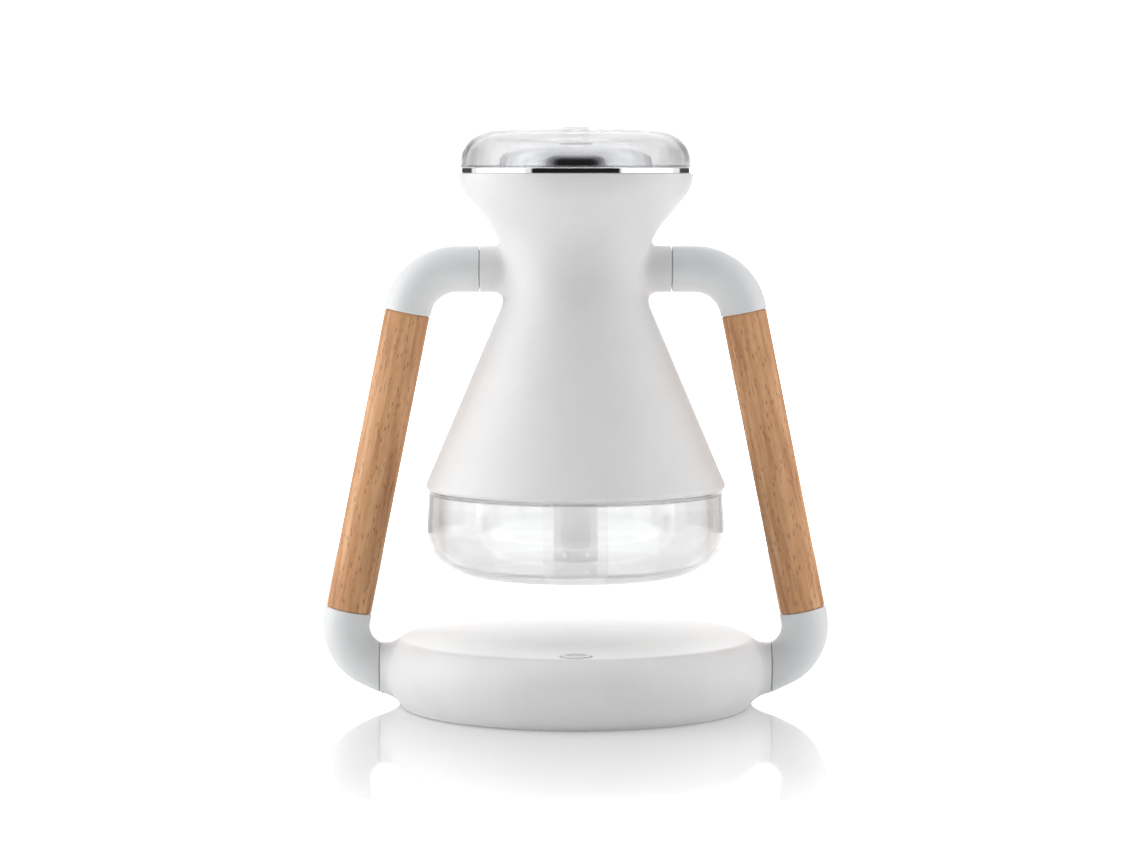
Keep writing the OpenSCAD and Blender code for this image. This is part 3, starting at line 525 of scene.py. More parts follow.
def turned(corners, closed=False, steps=128):
    """A bmesh turned from a half section about the Z axis."""
    bm = half_section(bmesh.new(), corners, closed)
    bmesh.ops.spin(bm, geom=bm.verts[:] + bm.edges[:], cent=(0, 0, 0), axis=(0, 0, 1),
                   angle=TURN, steps=steps, use_merge=True)
    bmesh.ops.remove_doubles(bm, verts=bm.verts[:], dist=WELD)
    bmesh.ops.recalc_face_normals(bm, faces=bm.faces[:])
    return bm


def finish_piece(bm, name, body, slot, nodes, material=None, crease=32):
    """Turns a bmesh in mm into a shaded piece that rides on a body and stands for nodes."""
    bmesh.ops.scale(bm, vec=(MM, MM, MM), verts=bm.verts[:])
    mesh = bpy.data.meshes.new(name)
    bm.to_mesh(mesh)
    bm.free()
    mesh.shade_smooth()
    mesh.set_sharp_from_angle(angle=math.radians(crease))
    mesh.materials.append(MATERIALS[material or slot])
    piece = bpy.data.objects.new(name, mesh)
    scene.collection.objects.link(piece)
    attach(piece, body)
    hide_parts(*nodes)
    print(name, "faces:", len(mesh.polygons))
    return piece


# %% [markdown]
# A loop of edges can also be grown ring by ring, which suits tube ends: each
# step moves inwards by one amount and along the axis by another. A rounded
# edge is a few such steps round a quarter circle.

# %% Growing a loop
# A stub's open edges lie no further than this inside its seam, in mm
STUB_NEAR = 2
# Play of the elbow's spigot in a stub
SPIGOT_PLAY = 0.05


def grow(bm, edges, centre, axis, steps):
    """Extrudes a loop of edges once for each (inwards, along) step in mm."""
    axis = Vector(axis).normalized()
    for inwards, along in steps:
        made = bmesh.ops.extrude_edge_only(bm, edges=edges)["geom"]
        edges = [g for g in made if isinstance(g, bmesh.types.BMEdge) and g.is_boundary]
        for vert in {v for e in edges for v in e.verts}:
            out = vert.co - Vector(centre)
            out -= axis * out.dot(axis)
            vert.co += axis * along - out.normalized() * inwards
    return edges


def rounded(radius, start=0, end=90, count=4):
    """Steps round an outside edge, from the side at 0 degrees to the end face at 90."""
    angles = [math.radians(start + (end - start) * i / count) for i in range(count + 1)]
    return [(radius * (math.cos(a) - math.cos(b)), radius * (math.sin(b) - math.sin(a)))
            for a, b in zip(angles, angles[1:])]


def steps_along(path):
    """Growing steps that follow a path of (radius, height) points."""
    return [(a[0] - b[0], b[1] - a[1]) for a, b in zip(path, path[1:])]


def open_edges(bm, test):
    """Open edges whose two ends both pass the test."""
    return [e for e in bm.edges if e.is_boundary and all(test(v.co) for v in e.verts)]


def close_loop(bm, edges):
    """Caps an open loop with one face."""
    bmesh.ops.contextual_create(bm, geom=edges)


def close_stubs(bm, seam_x, z, depth):
    """Rounds the open ends of both stubs at a height and closes them that deep inside."""
    for side in (-1, 1):
        loop = open_edges(bm, lambda p: p.x * side > seam_x - STUB_NEAR)
        step_in = ARM_R - EDGE - SPIGOT_R - SPIGOT_PLAY
        close_loop(bm, grow(bm, loop, (side * seam_x, 0, z), (side, 0, 0),
                            rounded(EDGE, count=2) + [(step_in, 0), (0, -depth)]))


print("helpers ready")

# %% [markdown]
# ## Body shell
# The body is one moulding: an hourglass with a short stub on each side of
# its neck. Where a stub meets the neck, the real moulding has a soft fillet.
# A bevel can't make that on two curved shapes, so the two solids are joined
# by a voxel remesh, and its points are then drawn onto a smooth blend of
# both shapes. The blend is a distance: negative inside and 0 on the surface.

# %% Blending two solids
VOXEL = 1.0
# Half the step over which the slope of a distance is measured, in mm
PROBE = 0.05


def section_points(corners):
    """The rounded corners of a half section, in order, as an array."""
    bm = half_section(bmesh.new(), corners, closed=False)
    bm.verts.ensure_lookup_table()
    vert = min((v for v in bm.verts if len(v.link_edges) == 1), key=lambda v: v.co.z)
    edge, points = None, [vert.co.copy()]
    while True:
        ahead = [e for e in vert.link_edges if e is not edge]
        if not ahead:
            break
        edge = ahead[0]
        vert = edge.other_vert(vert)
        points.append(vert.co.copy())
    bm.free()
    return np.array([(p.x, p.z) for p in points])


def turned_distance(co, outline):
    """Distance of points to a solid turned from an outline, negative inside."""
    flat = np.stack([np.hypot(co[:, 0], co[:, 1]), co[:, 2]], axis=1)
    nearest = np.full(len(co), np.inf)
    inside = np.zeros(len(co), bool)
    for a, b in zip(outline, np.roll(outline, -1, axis=0)):
        edge = b - a
        share = np.clip(((flat - a) @ edge) / (edge @ edge), 0, 1)
        gap = np.linalg.norm(flat - a - share[:, None] * edge, axis=1)
        on_axis = a[0] <= 0 and b[0] <= 0
        nearest = nearest if on_axis else np.minimum(nearest, gap)
        crosses = (a[1] > flat[:, 1]) != (b[1] > flat[:, 1])
        if a[1] != b[1]:
            reach = a[0] + (flat[:, 1] - a[1]) / (b[1] - a[1]) * edge[0]
            inside ^= crosses & (flat[:, 0] < reach)
    return np.where(inside, -nearest, nearest)


def blended(one, two, width):
    """Smooth union of two distances, blended over that width."""
    overlap = np.clip(width - np.abs(one - two), 0, None) / width
    return np.minimum(one, two) - overlap ** 2 * width / 4


def joined(bm, distance, rounds=4):
    """Remeshes overlapping solids into one, then draws its points onto the distance's surface."""
    mesh = bpy.data.meshes.new("draft")
    bm.to_mesh(mesh)
    bm.free()
    draft = bpy.data.objects.new("draft", mesh)
    scene.collection.objects.link(draft)
    remesh = draft.modifiers.new("remesh", "REMESH")
    remesh.mode = "VOXEL"
    remesh.voxel_size = VOXEL
    evaluated = draft.evaluated_get(bpy.context.evaluated_depsgraph_get())
    skin = bpy.data.meshes.new_from_object(evaluated)
    bpy.data.objects.remove(draft)
    co = np.empty(len(skin.vertices) * 3)
    skin.vertices.foreach_get("co", co)
    co = co.reshape(-1, 3)
    for _ in range(rounds):
        slope = np.stack([(distance(co + step) - distance(co - step)) / (2 * PROBE)
                          for step in np.eye(3) * PROBE], axis=1)
        co = co - slope * (distance(co) / (slope ** 2).sum(axis=1))[:, None]
    skin.vertices.foreach_set("co", co.ravel())
    bm = bmesh.new()
    bm.from_mesh(skin)
    bpy.data.meshes.remove(skin)
    bmesh.ops.recalc_face_normals(bm, faces=bm.faces[:])
    return bm


def rod(bm, start, axis, radius, length, segments=48):
    """Adds a closed round rod from a start point along an axis."""
    turn = Vector(axis).normalized().to_track_quat("Z", "Y").to_matrix().to_4x4()
    middle = Vector(start) + Vector(axis).normalized() * length / 2
    bmesh.ops.create_cone(bm, cap_ends=True, segments=segments, radius1=radius, radius2=radius,
                          depth=length, matrix=Matrix.Translation(middle) @ turn)


def cut(bm, point, normal, test=lambda p: True):
    """Removes what is past the plane, on the side of its normal, where the test holds."""
    verts = {v for v in bm.verts if test(v.co)}
    edges = [e for e in bm.edges if verts.issuperset(e.verts)]
    faces = [f for f in bm.faces if verts.issuperset(f.verts)]
    bmesh.ops.bisect_plane(bm, geom=list(verts) + edges + faces, dist=0.0001,
                           plane_co=point, plane_no=normal, clear_outer=True)


print("voxel in mm:", VOXEL)

# %% Body shell
# Sizes in mm: the rim at the bottom, the waist, the funnel over it and the
# shoulder. Heights are counted up from the arms
RIM_R = 53.9
RIM_ROUND = 1.5
WAIST_R = 19.6
WAIST_UP = 2.6
WAIST_ROUND = 28
TOP_R = 41.6
FUNNEL_H = 28.8
SHOULDER_ROUND = 13
BODY_WALL = 2.2
# Width of the blend under a stub and over it
STUB_BLEND_LOW = 5.0
STUB_BLEND_HIGH = 2.2
# How far the solids run past the cuts that end them
PAST = 6
# The cut of a stub takes points further out than the first of these, and at
# most the second over or under the arm
NECK_CLEAR = 28
STUB_CLEAR = 2
# The rim's open edges lie no higher over it than this
RIM_NEAR = 5
BODY_SOCKET = 5

body_low, body_high = box_mm("body_shell")
rim_z, body_top = body_low.z, body_high.z
waist = (WAIST_R, arm_z + WAIST_UP)
shoulder = (TOP_R, arm_z + FUNNEL_H)
cone_slope = (RIM_R - WAIST_R) / (waist[1] - rim_z)
cone_lean = math.atan(cone_slope)


def body_corners(wall, low, high):
    """Corners of the body's outline, wall inside its outer surface."""
    funnel_lean = math.atan2(TOP_R - WAIST_R, shoulder[1] - waist[1])
    foot = RIM_R + (rim_z - low) * cone_slope - wall / math.cos(cone_lean)
    # Both lines move in by the wall, so they meet nearer the axis
    one, two = math.tan(cone_lean), math.tan(funnel_lean)
    in_one, in_two = wall / math.cos(cone_lean), wall / math.cos(funnel_lean)
    rise = (in_two - in_one) / (one + two)
    neck = (WAIST_R - in_one - rise * one, waist[1] + rise, WAIST_ROUND + wall)
    reach = (TOP_R - wall - (WAIST_R - in_two)) / two
    return [(foot, low, 0), neck,
            (TOP_R - wall, waist[1] + reach, SHOULDER_ROUND - wall), (TOP_R - wall, high, 0)]


outline = section_points(body_corners(0, rim_z - PAST, body_top + PAST))
outline = np.vstack([[0, rim_z - PAST], outline, [0, body_top + PAST]])
bm = turned([(r, z, 0) for r, z in outline])
rod(bm, (-BODY_SEAM_X - PAST, 0, arm_z), (1, 0, 0), ARM_R, 2 * (BODY_SEAM_X + PAST))


def body_distance(co):
    """Distance to the body with both stubs, blended more softly under a stub than over it."""
    up = co[:, 2] - arm_z
    width = np.interp(up, [-ARM_R, ARM_R], [STUB_BLEND_LOW, STUB_BLEND_HIGH])
    return blended(turned_distance(co, outline), np.hypot(co[:, 1], up) - ARM_R, width)


bm = joined(bm, body_distance)

round_centre_z = rim_z + RIM_ROUND
cut(bm, (0, 0, round_centre_z + RIM_ROUND * math.sin(cone_lean)), (0, 0, -1))
cut(bm, (0, 0, body_top), (0, 0, 1))
for side in (-1, 1):
    cut(bm, (side * (BODY_SEAM_X - EDGE), 0, 0), (side, 0, 0),
        lambda p: p.x * side > NECK_CLEAR and abs(p.z - arm_z) < ARM_R + STUB_CLEAR)

inner = section_points(body_corners(BODY_WALL, rim_z, body_top))
rim_loop = open_edges(bm, lambda p: p.z < rim_z + RIM_NEAR)
top_loop = open_edges(bm, lambda p: p.z > body_top - NEAR)
rim_edge = grow(bm, rim_loop, (0, 0, 0), (0, 0, -1),
                rounded(RIM_ROUND, -math.degrees(cone_lean), 90, 6))
edge_r = max(math.hypot(v.co.x, v.co.y) for e in rim_edge for v in e.verts)
path = [(edge_r, rim_z)] + [tuple(p) for p in inner]
inner_loop = grow(bm, rim_edge, (0, 0, 0), (0, 0, 1), steps_along(path))
bmesh.ops.bridge_loops(bm, edges=inner_loop + top_loop)
close_stubs(bm, BODY_SEAM_X, arm_z, BODY_SOCKET)
bmesh.ops.recalc_face_normals(bm, faces=bm.faces[:])
print("open edges left:", sum(e.is_boundary for e in bm.edges))
finish_piece(bm, "body_skin", "stand", "white_abs", ["body_shell"])

# %% [markdown]
# ## Base housing
# The base is a low disc whose side swells like a lens. The stubs for the
# arms grow out of the side with wide soft fillets, so it is made in the same
# way as the body. The two holes, for the button and the USB socket, are cut
# with Boolean modifiers.

# %% Base housing
# Sizes in mm: the bulge is the swell of the side, the edge the rounding over it
BASE_R = 67.0
BASE_BULGE = 5.2
BASE_EDGE = 3.0
BASE_WALL = 2.2
# Towards the base a stub grows sideways and upright, and its middle drops
STUB_FLARE_Y = 3.6
STUB_FLARE_Z = 0.4
STUB_DROP = 2.0
# How far outside the centre of the side's arc a flare is full
FLARE_FULL = 4
BASE_BLEND = 4.0
STUB_FROM = 40
STUB_LENGTH = 40
BASE_SOCKET = 2.5
# Rounding at the very bottom, and how far the solid runs on under it
LOW_EDGE = 0.7
BELOW = 1.5

base_top = box_mm("base_housing")[1].z
foot_z = box_mm("base_cover")[0].z
cover_r = box_mm("base_cover")[1].x
cover_top = box_mm("ballast_plate")[0].z
side_half = (base_top - foot_z) / 2
side_z = foot_z + side_half
side_r = (side_half ** 2 + BASE_BULGE ** 2) / (2 * BASE_BULGE)
side_x = BASE_R - side_r


def side_at(z, wall=0.0):
    """Radius of the base's swelling side at a height."""
    return side_x + math.sqrt((side_r - wall) ** 2 - (z - side_z) ** 2)


def side_arc(low, high, count, wall=0.0):
    """Points of the side's outline between two heights."""
    return [(side_at(low + (high - low) * i / count, wall), low + (high - low) * i / count)
            for i in range(count + 1)]


edge_r = side_x + math.sqrt((side_r - BASE_EDGE) ** 2 - (base_top - BASE_EDGE - side_z) ** 2)
edge_tilt = math.atan2(base_top - BASE_EDGE - side_z, edge_r - side_x)
top_edge = [(edge_r + BASE_EDGE * math.cos(a), base_top - BASE_EDGE + BASE_EDGE * math.sin(a))
            for a in np.linspace(edge_tilt, math.pi / 2, 8)]
below = foot_z - BELOW
outline = np.array([(0, below)] + side_arc(below, top_edge[0][1], 24)[:-1]
                   + top_edge + [(0, base_top)])
bm = turned([(r, z, 0) for r, z in outline])
for side in (-1, 1):
    rod(bm, (side * STUB_FROM, 0, STUB_AXIS_Z), (side, 0, 0), ARM_R, STUB_LENGTH)


def base_distance(co):
    """Distance to the base with both flared stubs, negative inside."""
    flare_length = BASE_SEAM_X - side_x - FLARE_FULL
    into = np.clip((BASE_SEAM_X - np.abs(co[:, 0])) / flare_length, -0.5, 1)
    half_y = ARM_R + STUB_FLARE_Y * into
    half_z = ARM_R / math.cos(STUB_SLOPE) + STUB_FLARE_Z * into
    middle_z = STUB_AXIS_Z - STUB_DROP * np.clip(into, 0, 1)
    reach = np.hypot(co[:, 1] / half_y, (co[:, 2] - middle_z) / half_z)
    stub = (reach - 1) * np.minimum(half_y, half_z)
    return blended(turned_distance(co, outline), stub, BASE_BLEND)


bm = joined(bm, base_distance)
cut(bm, (0, 0, foot_z + LOW_EDGE), (0, 0, -1))
for side in (-1, 1):
    cut(bm, (side * (BASE_SEAM_X - EDGE), 0, 0), (side, 0, 0))
low_loop = open_edges(bm, lambda p: p.z < foot_z + LOW_EDGE + NEAR)
inner = [(cover_r + SEAM, foot_z), (cover_r + SEAM, cover_top)]
inner += side_arc(cover_top, base_top - BASE_WALL - 0.3, 10, BASE_WALL)
inner += [(30, base_top - BASE_WALL), (6, base_top - BASE_WALL)]
low_edge = grow(bm, low_loop, (0, 0, 0), (0, 0, -1), rounded(LOW_EDGE, -10, 90, 3))
start = (side_at(foot_z + LOW_EDGE) - LOW_EDGE, foot_z)
for vert in {v for e in low_edge for v in e.verts}:
    flat = Vector((vert.co.x, vert.co.y, 0)).normalized() * start[0]
    vert.co = (flat.x, flat.y, foot_z)
path = [start] + inner
close_loop(bm, grow(bm, low_edge, (0, 0, 0), (0, 0, 1), steps_along(path)))
close_stubs(bm, BASE_SEAM_X, STUB_AXIS_Z, BASE_SOCKET)
bmesh.ops.recalc_face_normals(bm, faces=bm.faces[:])
print("open edges left:", sum(e.is_boundary for e in bm.edges))
base_piece = finish_piece(bm, "base_skin", "stand", "white_abs", ["base_housing"])

# %% Holes in the base
def drill(piece, cutter_bm, name):
    """Cuts a closed bmesh, in mm, out of a finished piece."""
    bmesh.ops.scale(cutter_bm, vec=(MM, MM, MM), verts=cutter_bm.verts[:])
    mesh = bpy.data.meshes.new(name)
    cutter_bm.to_mesh(mesh)
    cutter_bm.free()
    cutter = bpy.data.objects.new(name, mesh)
    scene.collection.objects.link(cutter)
    modifier = piece.modifiers.new(name, "BOOLEAN")
    modifier.operation = "DIFFERENCE"
    modifier.solver = "EXACT"
    modifier.object = cutter
    evaluated = piece.evaluated_get(bpy.context.evaluated_depsgraph_get())
    holed = bpy.data.meshes.new_from_object(evaluated)
    piece.modifiers.clear()
    holed.name = piece.data.name
    piece.data = holed
    bpy.data.objects.remove(cutter)
    print(name, "cut, faces now:", len(holed.polygons))


BUTTON_R = 5.3
# Chamfer round the button's hole; the cutter runs on as far over the top
CHAMFER = 0.25
HOLE_DEPTH = 6
button_low, button_high = box_mm("button_cap")
button_y = (button_low.y + button_high.y) / 2
hole_r = BUTTON_R + SEAM
hole = turned([(0, base_top - HOLE_DEPTH, 0), (hole_r, base_top - HOLE_DEPTH, 0),
               (hole_r, base_top - CHAMFER, 0), (hole_r + 2 * CHAMFER, base_top + CHAMFER, 0),
               (0, base_top + 1, 0)], steps=64)
bmesh.ops.translate(hole, vec=(0, button_y, 0), verts=hole.verts[:])
drill(base_piece, hole, "button_hole")

# The USB mouth has half round ends of this many points, and its cutter runs
# this far back, out of the side
MOUTH_POINTS = 13
MOUTH_DEPTH = 20
usb_low, usb_high = box_mm("usb_socket")
usb_z = (usb_low.z + usb_high.z) / 2
usb_round = (usb_high.z - usb_low.z) / 2 + SEAM
usb_half = usb_high.x + SEAM
mouth = bmesh.new()
corners = []
for end, turn in ((1, 0), (-1, math.pi)):
    for a in np.linspace(-math.pi / 2, math.pi / 2, MOUTH_POINTS) + turn:
        corners.append(mouth.verts.new((
            end * (usb_half - usb_round) + usb_round * math.cos(a), usb_low.y,
            usb_z + usb_round * math.sin(a))))
face = mouth.faces.new(corners)
pulled = bmesh.ops.extrude_face_region(mouth, geom=[face])["geom"]
bmesh.ops.translate(mouth, vec=(0, MOUTH_DEPTH, 0),
                    verts=[g for g in pulled if isinstance(g, bmesh.types.BMVert)])
bmesh.ops.recalc_face_normals(mouth, faces=mouth.faces[:])
drill(base_piece, mouth, "usb_mouth")

# %% [markdown]
# ## Elbows
# Each elbow is a bent tube. A circle is grown a little way straight, spun
# round the centre of the bend and grown again. Both ends get a small rounded
# edge, so that the seams catch a thin line of shade. The lower elbow meets
# the base in an upright cut, so its straight end is cut by a plane.

# %% Elbows
BEND_STEPS = 28
# Depth of the socket for the core tube, and length of the spigots that slip
# into the stubs, in mm
CORE_DEPTH = 6
TOP_SPIGOT = 5
LOW_SPIGOT = 2.2


def ring_of_edges(bm, centre, axis, radius, segments=72):
    """A circle of edges about an axis."""
    turn = Vector(axis).normalized().to_track_quat("Z", "Y").to_matrix().to_4x4()
    made = bmesh.ops.create_circle(bm, cap_ends=False, segments=segments, radius=radius,
                                   matrix=Matrix.Translation(Vector(centre)) @ turn)
    return list({e for v in made["verts"] for e in v.link_edges})


def swing(bm, edges, centre, angle, steps):
    """Spins a loop of edges about an axis along Y and returns its last copy."""
    verts = list({v for e in edges for v in e.verts})
    made = bmesh.ops.spin(bm, geom=verts + edges, cent=centre, axis=(0, 1, 0),
                          angle=angle, steps=steps)
    return [g for g in made["geom_last"] if isinstance(g, bmesh.types.BMEdge)]


def upper_elbow(side):
    """The elbow from the body's stub down to the grip."""
    bm = bmesh.new()
    first_x = BODY_SEAM_X + SEAM + EDGE
    start = ring_of_edges(bm, (first_x, 0, arm_z), (1, 0, 0), ARM_R)
    before = grow(bm, start, (0, 0, arm_z), (1, 0, 0), [(0, TOP_BEND_X - first_x)])
    after = swing(bm, before, top_bend, math.pi / 2 - LEAN, BEND_STEPS)
    end = grow(bm, after, grip_foot, -along_grip,
               [(0, TOP_NECK - EDGE)] + rounded(EDGE, count=3) + [(ARM_R - EDGE - CORE_R, 0)])
    close_loop(bm, grow(bm, end, grip_foot, -along_grip, [(0, -CORE_DEPTH)]))
    seam = open_edges(bm, lambda p: p.x < first_x + NEAR)
    close_loop(bm, grow(bm, seam, (0, 0, arm_z), (-1, 0, 0), rounded(EDGE, count=3)
                        + [(ARM_R - EDGE - SPIGOT_R, 0), (0, TOP_SPIGOT), (SPIGOT_R - CHANNEL_R, 0)]))
    return mirrored(bm, side)


def lower_elbow(side):
    """The elbow from the grip down to the base's stub."""
    bm = bmesh.new()
    top = grip_foot + along_grip * (LOW_NECK - EDGE)
    start = ring_of_edges(bm, top, along_grip, ARM_R)
    before = grow(bm, start, top, -along_grip, [(0, LOW_NECK - EDGE)])
    after = swing(bm, before, low_bend, math.pi / 2 - STUB_SLOPE + LEAN, BEND_STEPS)
    grow(bm, after, slant_start, slant, [(0, 2 * ARM_R)])
    cut_x = BASE_SEAM_X + SEAM + EDGE
    cut(bm, (cut_x, 0, 0), (-1, 0, 0), lambda p: p.z < low_bend.z)
    seam = open_edges(bm, lambda p: p.x < cut_x + NEAR)
    end = grow(bm, seam, (0, 0, STUB_AXIS_Z), (-1, 0, 0), rounded(EDGE, count=3)
               + [(ARM_R - EDGE - SPIGOT_R, 0), (0, LOW_SPIGOT), (SPIGOT_R - CHANNEL_R, 0)])
    close_loop(bm, end)
    neck = open_edges(bm, lambda p: p.z > low_bend.z)
    close_loop(bm, grow(bm, neck, top, along_grip, rounded(EDGE, count=3)
                        + [(ARM_R - EDGE - CORE_R, 0), (0, -CORE_DEPTH)]))
    return mirrored(bm, side)


def mirrored(bm, side):
    """The bmesh on that side, with its faces pointing outwards."""
    if side < 0:
        bmesh.ops.scale(bm, vec=(-1, 1, 1), verts=bm.verts[:])
    bmesh.ops.remove_doubles(bm, verts=bm.verts[:], dist=WELD)
    bmesh.ops.recalc_face_normals(bm, faces=bm.faces[:])
    print("open edges left:", sum(e.is_boundary for e in bm.edges))
    return bm


SIDES = {"left": -1, "right": 1}
for word, side in SIDES.items():
    finish_piece(upper_elbow(side), "upper_bend_" + word, "stand", "elbow_abs",
                 ["upper_elbow_" + word])
    finish_piece(lower_elbow(side), "lower_bend_" + word, "stand", "elbow_abs",
                 ["lower_elbow_" + word])

# %% [markdown]
# ## Grips
# A grip is a turned beech dowel with a bore for its steel core. Its ends
# have a small rounding from sanding, and the dowel is a touch thinner than
# the elbows, so a fine step shows at each seam.

# %% Grips
GRIP_ROUND = 0.9
# Rings added along a grip
GRIP_CUTS = 23

grip_l = straight - TOP_NECK - LOW_NECK
for word, side in SIDES.items():
    bm = turned([(CORE_R, 0, 0), (GRIP_R, 0, GRIP_ROUND), (GRIP_R, grip_l, GRIP_ROUND),
                 (CORE_R, grip_l, 0)], closed=True, steps=96)
    long_edges = [e for e in bm.edges if abs(e.verts[0].co.z - e.verts[1].co.z) > grip_l / 2]
    bmesh.ops.subdivide_edges(bm, edges=long_edges, cuts=GRIP_CUTS, use_grid_fill=True)
    base_point = grip_foot + along_grip * LOW_NECK
    stand_up = Matrix.Translation(base_point) @ Matrix.Rotation(-LEAN, 4, "Y")
    bmesh.ops.transform(bm, matrix=stand_up, verts=bm.verts[:])
    finish_piece(mirrored(bm, side), "beech_dowel_" + word, "stand", "beech",
                 ["grip_" + word], material="beech_" + word)

# %% [markdown]
# ## Water tank
# The tank is a shallow clear bowl with a thick, rounded bottom and a neck
# that slips up inside the body. Inner and outer faces are one closed
# section. Four lugs stand inside the neck and lock it.

# %% Water tank
# Sizes in mm; the draft is the side's lean inwards as it rises
TANK_R = RIM_R - 0.5
TANK_ROUND = 16.5
TANK_DRAFT = math.radians(3.4)
TANK_WALL = 2.2
SHOULDER_WALL = 0.8
NECK_R = RIM_R - 5.6
NECK_BORE = NECK_R - 2
LUGS = 4
# Degrees to the first lug, and the degrees that a lug takes
LUG_FIRST = 35
LUG_ARC = 10
LUG_Z = rim_z + 2.3
LUG_H = 1.5
LUG_T = 1.1
# How much thicker a lug is drawn, so that it sinks into the neck
LUG_SINK = 0.2
tank_low, tank_high = box_mm("water_tank")
tank_z, neck_top = tank_low.z, tank_high.z
shoulder_z = rim_z - SEAM


def side_line(z, wall):
    """Radius of the tank's drafted side at a height."""
    at_z = tank_z + TANK_ROUND + TANK_ROUND * math.sin(TANK_DRAFT)
    at_r = TANK_R - TANK_ROUND + TANK_ROUND * math.cos(TANK_DRAFT)
    return at_r - (z - at_z) * math.tan(TANK_DRAFT) - wall / math.cos(TANK_DRAFT)


under = shoulder_z - SHOULDER_WALL
floor_top = tank_z + TANK_WALL
bm = turned([
    (0, tank_z, 0), (side_line(tank_z, 0), tank_z, TANK_ROUND),
    (side_line(shoulder_z, 0), shoulder_z, 0.3), (NECK_R, shoulder_z, 0.4),
    (NECK_R, neck_top, 0.5), (NECK_BORE, neck_top, 0.5), (NECK_BORE, under, 0.6),
    (side_line(under, TANK_WALL), under, 0.8),
    (side_line(floor_top, TANK_WALL), floor_top, TANK_ROUND - TANK_WALL), (0, floor_top, 0),
], steps=160)
for i in range(LUGS):
    angle = math.radians(LUG_FIRST + 360 * i / LUGS)
    width = 2 * NECK_BORE * math.sin(math.radians(LUG_ARC / 2))
    middle_r = NECK_BORE - LUG_T / 2 + LUG_SINK / 2
    place_lug = (Matrix.Rotation(angle, 4, "Z")
                 @ Matrix.Translation((middle_r, 0, LUG_Z + LUG_H / 2))
                 @ Matrix.Diagonal((LUG_T + LUG_SINK, width, LUG_H, 1)))
    lug = bmesh.ops.create_cube(bm, size=1, matrix=place_lug)
    lug_edges = list({e for v in lug["verts"] for e in v.link_edges})
    bmesh.ops.bevel(bm, geom=lug_edges, offset=0.25, offset_type="OFFSET", segments=2,
                    profile=0.5, affect="EDGES", material=-1)
finish_piece(bm, "clear_tank", "tank", "tank_clear", ["water_tank"])

# %% [markdown]
# ## Dome, reflector and trim ring
# The dome is a clear cap with a generous shoulder and the mist outlet in its
# middle. Under it a low chrome cap throws the lamp's light outwards. A thin
# chrome ring finishes the body's top.

# %% Dome cover
DOME_R = TOP_R - 0.6
DOME_ROUND = 12.6
DOME_WALL = 2.3
DOME_SILL = 0.5
TRIM_R = TOP_R - 0.85
TRIM_BORE = TRIM_R - 3.1
OUTLET_R = 4.5
SPIGOT_WALL = 1.9
ring_low, ring_high = box_mm("trim_ring")
trim_top = ring_high.z
dome_low, dome_high = box_mm("dome_cover")
dome_top = dome_high.z
spigot_out = TRIM_BORE - SEAM
spigot_in = spigot_out - SPIGOT_WALL
bm = turned([
    (DOME_R, trim_top, 0.15), (DOME_R, dome_top, DOME_ROUND), (OUTLET_R, dome_top, 0.6),
    (OUTLET_R, dome_top - DOME_WALL, 0.4),
    (DOME_R - DOME_WALL, dome_top - DOME_WALL, DOME_ROUND - DOME_WALL),
    (DOME_R - DOME_WALL, trim_top + DOME_SILL, 0.2), (spigot_in, trim_top + DOME_SILL, 0.2),
    (spigot_in, dome_low.z, 0.3), (spigot_out, dome_low.z, 0.3), (spigot_out, trim_top, 0.1),
], closed=True, steps=160)
finish_piece(bm, "clear_dome", "dome", "dome_clear", ["dome_cover"])

# %% Trim ring
# The ring's skirt reaches down inside the body, so its radius there is read
# from the CAD model's lowest points
SKIRT_NEAR = 0.05
skirt_r = max(math.hypot(v.co.x, v.co.y) for v in frame["nodes"]["trim_ring"].data.vertices
              if v.co.z < (ring_low.z + SKIRT_NEAR) * MM) / MM
bm = turned([
    (TRIM_BORE, ring_low.z, 0.2), (skirt_r, ring_low.z, 0.2), (skirt_r, body_top, 0),
    (TRIM_R, body_top, 0.25), (TRIM_R, trim_top, 0.35), (TRIM_BORE, trim_top, 0.2),
], closed=True, steps=160)
finish_piece(bm, "chrome_ring", "stand", "trim_chrome", ["trim_ring"])

# %% Reflector
REFLECTOR_R = 27.3
REFLECTOR_EDGE = 6.0
REFLECTOR_T = 1.3
PIPE_WALL = 1.4
# Height over the trim ring where the cap starts to round inwards
EDGE_RISE = 1.5
reflector_low, reflector_high = box_mm("reflector")
pipe_r = OUTLET_R + PIPE_WALL
crown_z = reflector_high.z
edge_z = trim_top + EDGE_RISE


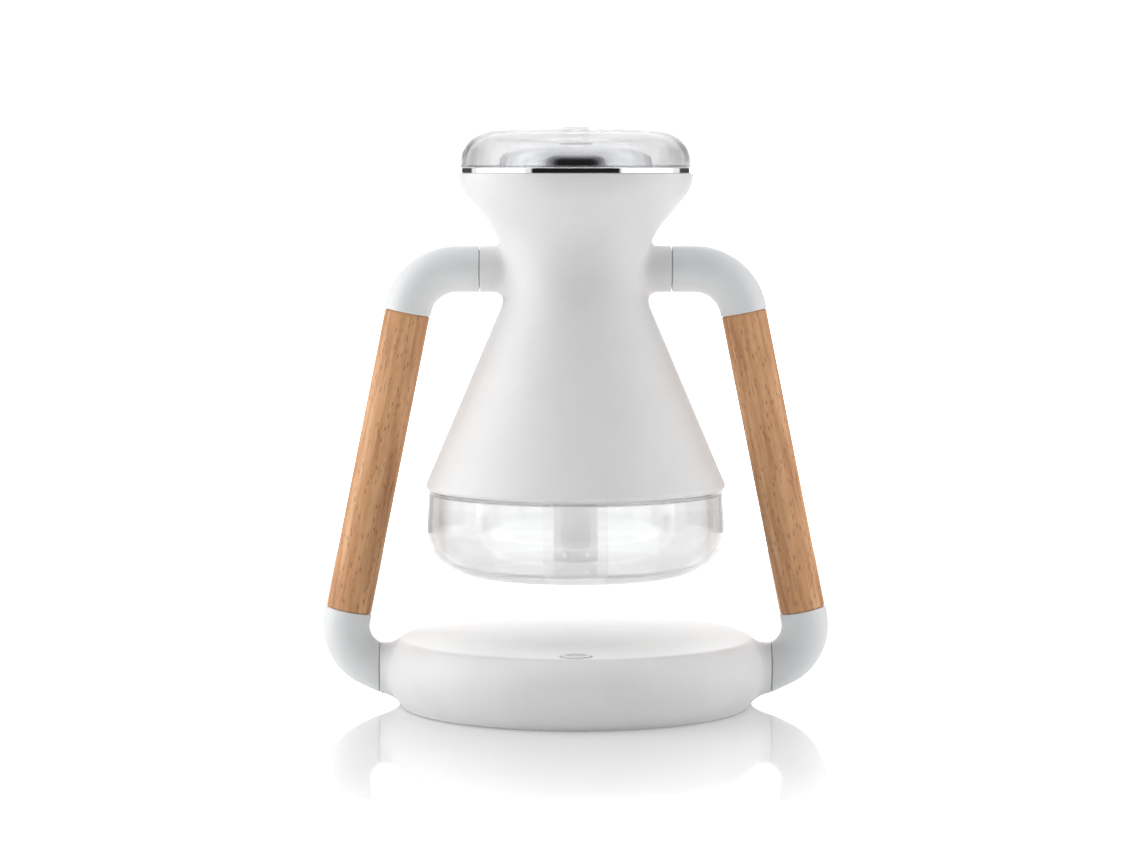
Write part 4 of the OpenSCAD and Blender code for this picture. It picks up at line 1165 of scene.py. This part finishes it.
def cap_line(wall):
    """Corners of the low cap, wall inside its outer face: rim, edge, crown, hole."""
    edge = (REFLECTOR_R - REFLECTOR_EDGE, edge_z)
    rise = crown_z - edge_z
    cap_r = (edge[0] ** 2 + rise ** 2 - REFLECTOR_EDGE ** 2) / (2 * (rise - REFLECTOR_EDGE))
    meet = math.atan2(edge_z - crown_z + cap_r, edge[0])
    hole = math.acos((pipe_r + SEAM) / (cap_r - wall))
    edge_points = [(edge[0] + (REFLECTOR_EDGE - wall) * math.cos(a),
                    edge_z + (REFLECTOR_EDGE - wall) * math.sin(a), 0)
                   for a in np.linspace(0, meet, 14)]
    crown_points = [((cap_r - wall) * math.cos(a),
                     crown_z - cap_r + (cap_r - wall) * math.sin(a), 0)
                    for a in np.linspace(meet, hole, 16)[1:]]
    return edge_points + crown_points


bm = turned([(REFLECTOR_R, reflector_low.z, 0)] + cap_line(0) + cap_line(REFLECTOR_T)[::-1]
            + [(REFLECTOR_R - REFLECTOR_T, reflector_low.z, 0)], closed=True, steps=128)
finish_piece(bm, "chrome_reflector", "stand", "reflector_chrome", ["reflector"])

# %% [markdown]
# ## Button
# The button cap is a small disc with a finger dish and a raised rim. Its
# flange keeps it from falling out of its hole.

# %% Button cap
STEM_R = 2.3
cap_top = button_high.z
flange_r = button_high.x
flange_low = base_top - 3.5
flange_top = base_top - 2.3
bm = turned([
    (0, button_low.z, 0), (STEM_R, button_low.z, 0.2), (STEM_R, flange_low, 0),
    (flange_r, flange_low, 0.2), (flange_r, flange_top, 0.2),
    (BUTTON_R, flange_top, 0), (BUTTON_R, cap_top, 0.45), (BUTTON_R - 1.2, cap_top, 0.4),
    (BUTTON_R - 2.0, cap_top - 0.35, 0.8), (0, cap_top - 0.4, 0),
], steps=72)
bmesh.ops.translate(bm, vec=(0, button_y, 0), verts=bm.verts[:])
finish_piece(bm, "button_top", "button", "button_grey", ["button_cap"])

# %% [markdown]
# ## The pieces that keep their CAD shape
# Everything inside keeps the CAD node's own mesh. Each one gets the finish
# of its material slot.

# %% Finishes on CAD nodes
slots = {part["node"]: part["material_slot"] for part in frame["record"]["subparts"]}
kept = 0
for name, node in frame["nodes"].items():
    if node.hide_render:
        continue
    node.data.materials.clear()
    node.data.materials.append(MATERIALS[slots[name]])
    kept += 1
print("CAD nodes with a finish:", kept)
